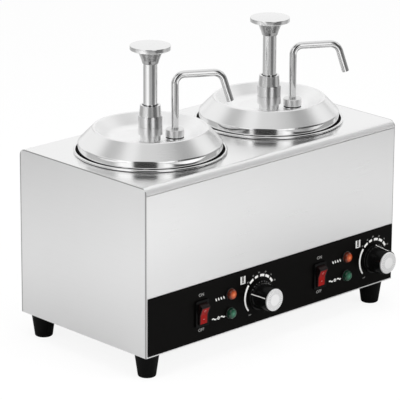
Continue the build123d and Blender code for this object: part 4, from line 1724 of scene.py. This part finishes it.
def sector(angle: Wire, low: float, high: float, soft: float) -> Wire:
    """1 between two angles, with soft edges.

    Args:
        angle: Angle in radians.
        low: Where the sector starts, in degrees.
        high: Where it ends, in degrees.
        soft: Half the width of its edges, in degrees.

    Returns:
        The mask.
    """
    return angle.band(*(math.radians(bound) for bound in (low, high, soft)))


@dataclass(frozen=True)
class Flag:
    """Dark card of the studio, in degrees round the camera's side and above the floor.

    A depth of 1 lets no light past, and one below 0 makes the card a brighter one.
    """

    azimuth: float
    half_width: float
    low: float
    high: float
    depth: float
    soft: float

    def shade(self, azimuth: Wire, elevation: Wire) -> Wire:
        """Share of light that gets past the card.

        Args:
            azimuth: Angle of a direction from the camera's side.
            elevation: Its angle above the floor.

        Returns:
            The share in that direction.
        """
        wide = sector(azimuth, self.azimuth - self.half_width, self.azimuth + self.half_width, self.soft)
        return 1.0 - wide * sector(elevation, self.low, self.high, self.soft) * self.depth


@dataclass(frozen=True)
class TableCard:
    """Darker sheet on the table from some way out, in degrees round the camera's side."""

    azimuth: float
    half_width: float
    depth: float
    soft: float
    start: float = 0.88
    fade: float = 0.15

    def shade(self, bearing: Wire, radius: Wire) -> Wire:
        """Share of light that the table keeps.

        Args:
            bearing: Angle of a place from the camera's side.
            radius: Its distance from the middle of the warmer.

        Returns:
            The share at that place.
        """
        wide = sector(bearing, self.azimuth - self.half_width, self.azimuth + self.half_width, self.soft)
        return 1.0 - wide * radius.rise(self.start, self.start + self.fade) * self.depth


@dataclass(frozen=True)
class TableTop(Finish):
    """White to the camera; in light and mirror images, a table with darker places."""

    view: Viewpoint
    cards: tuple[TableCard, ...]
    near_tone: float = 0.70
    far_tone: float = 1.0
    near_edge: float = 0.36
    fade: float = 0.26
    glow: float = 0.88

    def paint(self, graph: Graph) -> Wire:
        """White surface that glows enough for the camera to keep only the warmer's shadow.

        Args:
            graph: Empty node tree of the material.

        Returns:
            Wire from the shader.
        """
        x, y, _ = graph.split(graph.place())
        bearing = self.view.bearing(x, y)
        radius = graph.from_axis((0.0, 0.0))
        away = radius.rise(self.near_edge, self.near_edge + self.fade)
        tone = self.near_tone + (self.far_tone - self.near_tone) * away
        for card in self.cards:
            tone = card.shade(bearing, radius) * tone
        matt = graph.node("BsdfDiffuse", inputs={"Color": graph.join(tone, tone, tone)})
        white = graph.node("BsdfDiffuse", inputs={"Color": grey(1.0)})
        glow = graph.node("Emission", inputs={"Color": grey(1.0), "Strength": 1.0})
        seen = graph.node("MixShader", inputs={0: self.glow, 1: white, 2: glow})
        return graph.node("MixShader", inputs={0: graph.rays("Camera"), 1: matt, 2: seen})


@dataclass(frozen=True)
class Lamp:
    """Square soft lamp that hangs at a place and faces the warmer."""

    name: str
    place: tuple[float, float, float]
    size: float
    power: float


@dataclass
class Studio:
    """White sweep, soft light and the dark cards that draw the edges of polished steel."""

    view: Viewpoint
    ambient: float = 0.62
    floor_size: float = 14.0
    floor_tiles: int = 8
    lamp_aim: tuple[float, float, float] = (0.0, 0.0, 0.15)
    cards: tuple[Flag, ...] = (
        Flag(-6.5, 19.5, -12.0, 52.0, 0.95, 3.0),
        Flag(60.0, 22.0, -5.0, 50.0, 0.93, 4.0),
        Flag(106.0, 26.0, -5.0, 23.0, 0.62, 4.0),
        Flag(148.0, 8.0, 14.0, 24.0, 0.45, 2.0),
        Flag(-157.0, 11.0, 14.0, 24.0, 0.28, 2.0),
        Flag(-68.0, 12.0, -5.0, 30.0, 0.42, 5.0),
        Flag(-100.0, 20.0, -5.0, 23.0, 0.45, 5.0),
        Flag(-39.0, 11.0, -5.0, 35.0, -0.30, 3.0),
        Flag(28.0, 6.0, -5.0, 35.0, -0.30, 3.0),
        Flag(24.0, 60.0, 52.0, 73.0, 0.40, 6.0),
        Flag(-90.0, 20.0, 38.0, 62.0, 0.50, 10.0),
        Flag(90.0, 22.0, 40.0, 62.0, 0.58, 10.0),
    )
    table_cards: tuple[TableCard, ...] = (
        TableCard(27.0, 49.0, 0.60, 14.0),
        TableCard(49.0, 25.0, 0.62, 10.0),
        TableCard(0.0, 190.0, 0.08, 1.0, 0.90, 0.15),
        TableCard(-100.0, 30.0, 0.21, 12.0, 0.40, 0.30),
        TableCard(-122.0, 38.0, 0.32, 8.0, 0.95, 0.15),
        TableCard(100.0, 25.0, 0.38, 8.0, 1.0),
        TableCard(115.0, 40.0, 0.34, 22.0, 0.0, 0.10),
        TableCard(115.0, 40.0, -0.16, 22.0, 0.48, 0.25),
        TableCard(-70.0, 35.0, 0.03, 20.0, 0.0, 0.10),
        TableCard(-66.0, 10.0, 0.12, 10.0, 0.66, 0.14),
    )
    lamps: tuple[Lamp, ...] = (
        Lamp("overhead_lamp", (-0.3, -0.4, 2.4), 1.8, 24.0),
        Lamp("left_lamp", (-2.2, 0.2, 1.5), 1.4, 14.0),
        Lamp("front_lamp", (1.2, -2.4, 1.5), 1.4, 30.0),
    )

    def build(self) -> None:
        """Make the world, the floor and the lamps."""
        bpy.context.scene.view_settings.view_transform = "Standard"
        self.make_world()
        self.make_floor()
        for lamp in self.lamps:
            self.hang(lamp)

    def make_world(self) -> None:
        """White to the camera, soft grey light, and a white tent with dark cards to polished steel."""
        world = bpy.data.worlds.new("studio")
        world.use_nodes = True
        bpy.context.scene.world = world
        graph = Graph(world.node_tree)
        x, y, z = graph.split(graph.node("TexCoord", output="Generated"))
        azimuth = self.view.bearing(x, y)
        elevation = z.arcsine()
        tent: Wire | float = 1.0
        for card in self.cards:
            tent = card.shade(azimuth, elevation) * tent
        strength = self.ambient + (tent - self.ambient) * graph.rays("Glossy")
        seen = graph.maths("MAXIMUM", graph.rays("Camera"), graph.rays("Transmission"))
        strength = strength + (1.0 - strength) * seen
        graph.end("OutputWorld", graph.node("Background", inputs={"Color": grey(1.0), "Strength": strength}))

    def make_floor(self) -> None:
        """White table under the warmer."""
        mesh = bmesh.new()
        bmesh.ops.create_grid(mesh, x_segments=self.floor_tiles, y_segments=self.floor_tiles,
                              size=self.floor_size / 2.0)
        data = bpy.data.meshes.new("table")
        mesh.to_mesh(data)
        mesh.free()
        data.materials.append(TableTop("table_white", self.view, self.table_cards).material())
        put("table", data)

    def hang(self, lamp: Lamp) -> None:
        """Hang one lamp, turned to the warmer and left out of mirror images.

        Args:
            lamp: Its place, size and power.
        """
        data = bpy.data.lights.new(lamp.name, "AREA")
        data.shape = "SQUARE"
        data.size = lamp.size
        data.energy = lamp.power
        light = put(lamp.name, data)
        light.location = lamp.place
        light.rotation_mode = "QUATERNION"
        way = Vector(self.lamp_aim) - Vector(lamp.place)
        light.rotation_quaternion = way.to_track_quat("-Z", "Y")
        light.visible_glossy = False


def main() -> None:
    """Build the studio and every sub-assembly in order."""
    logging.basicConfig(level=logging.INFO, format="%(name)s: %(message)s")
    view = Viewpoint()
    view.build()
    Studio(view).build()
    Casing().build()
    ControlStrip().build()
    PilotLamps().build()
    for side, pointer in ((Side.LEFT, -72.0), (Side.RIGHT, 5.0)):
        Dial(side, pointer).build()
        RockerSwitch(side).build()
        PotSet(side).build()
        PressHead(side).build()
        ReturnSpring(side).build()


if __name__ == "__main__":
    main()
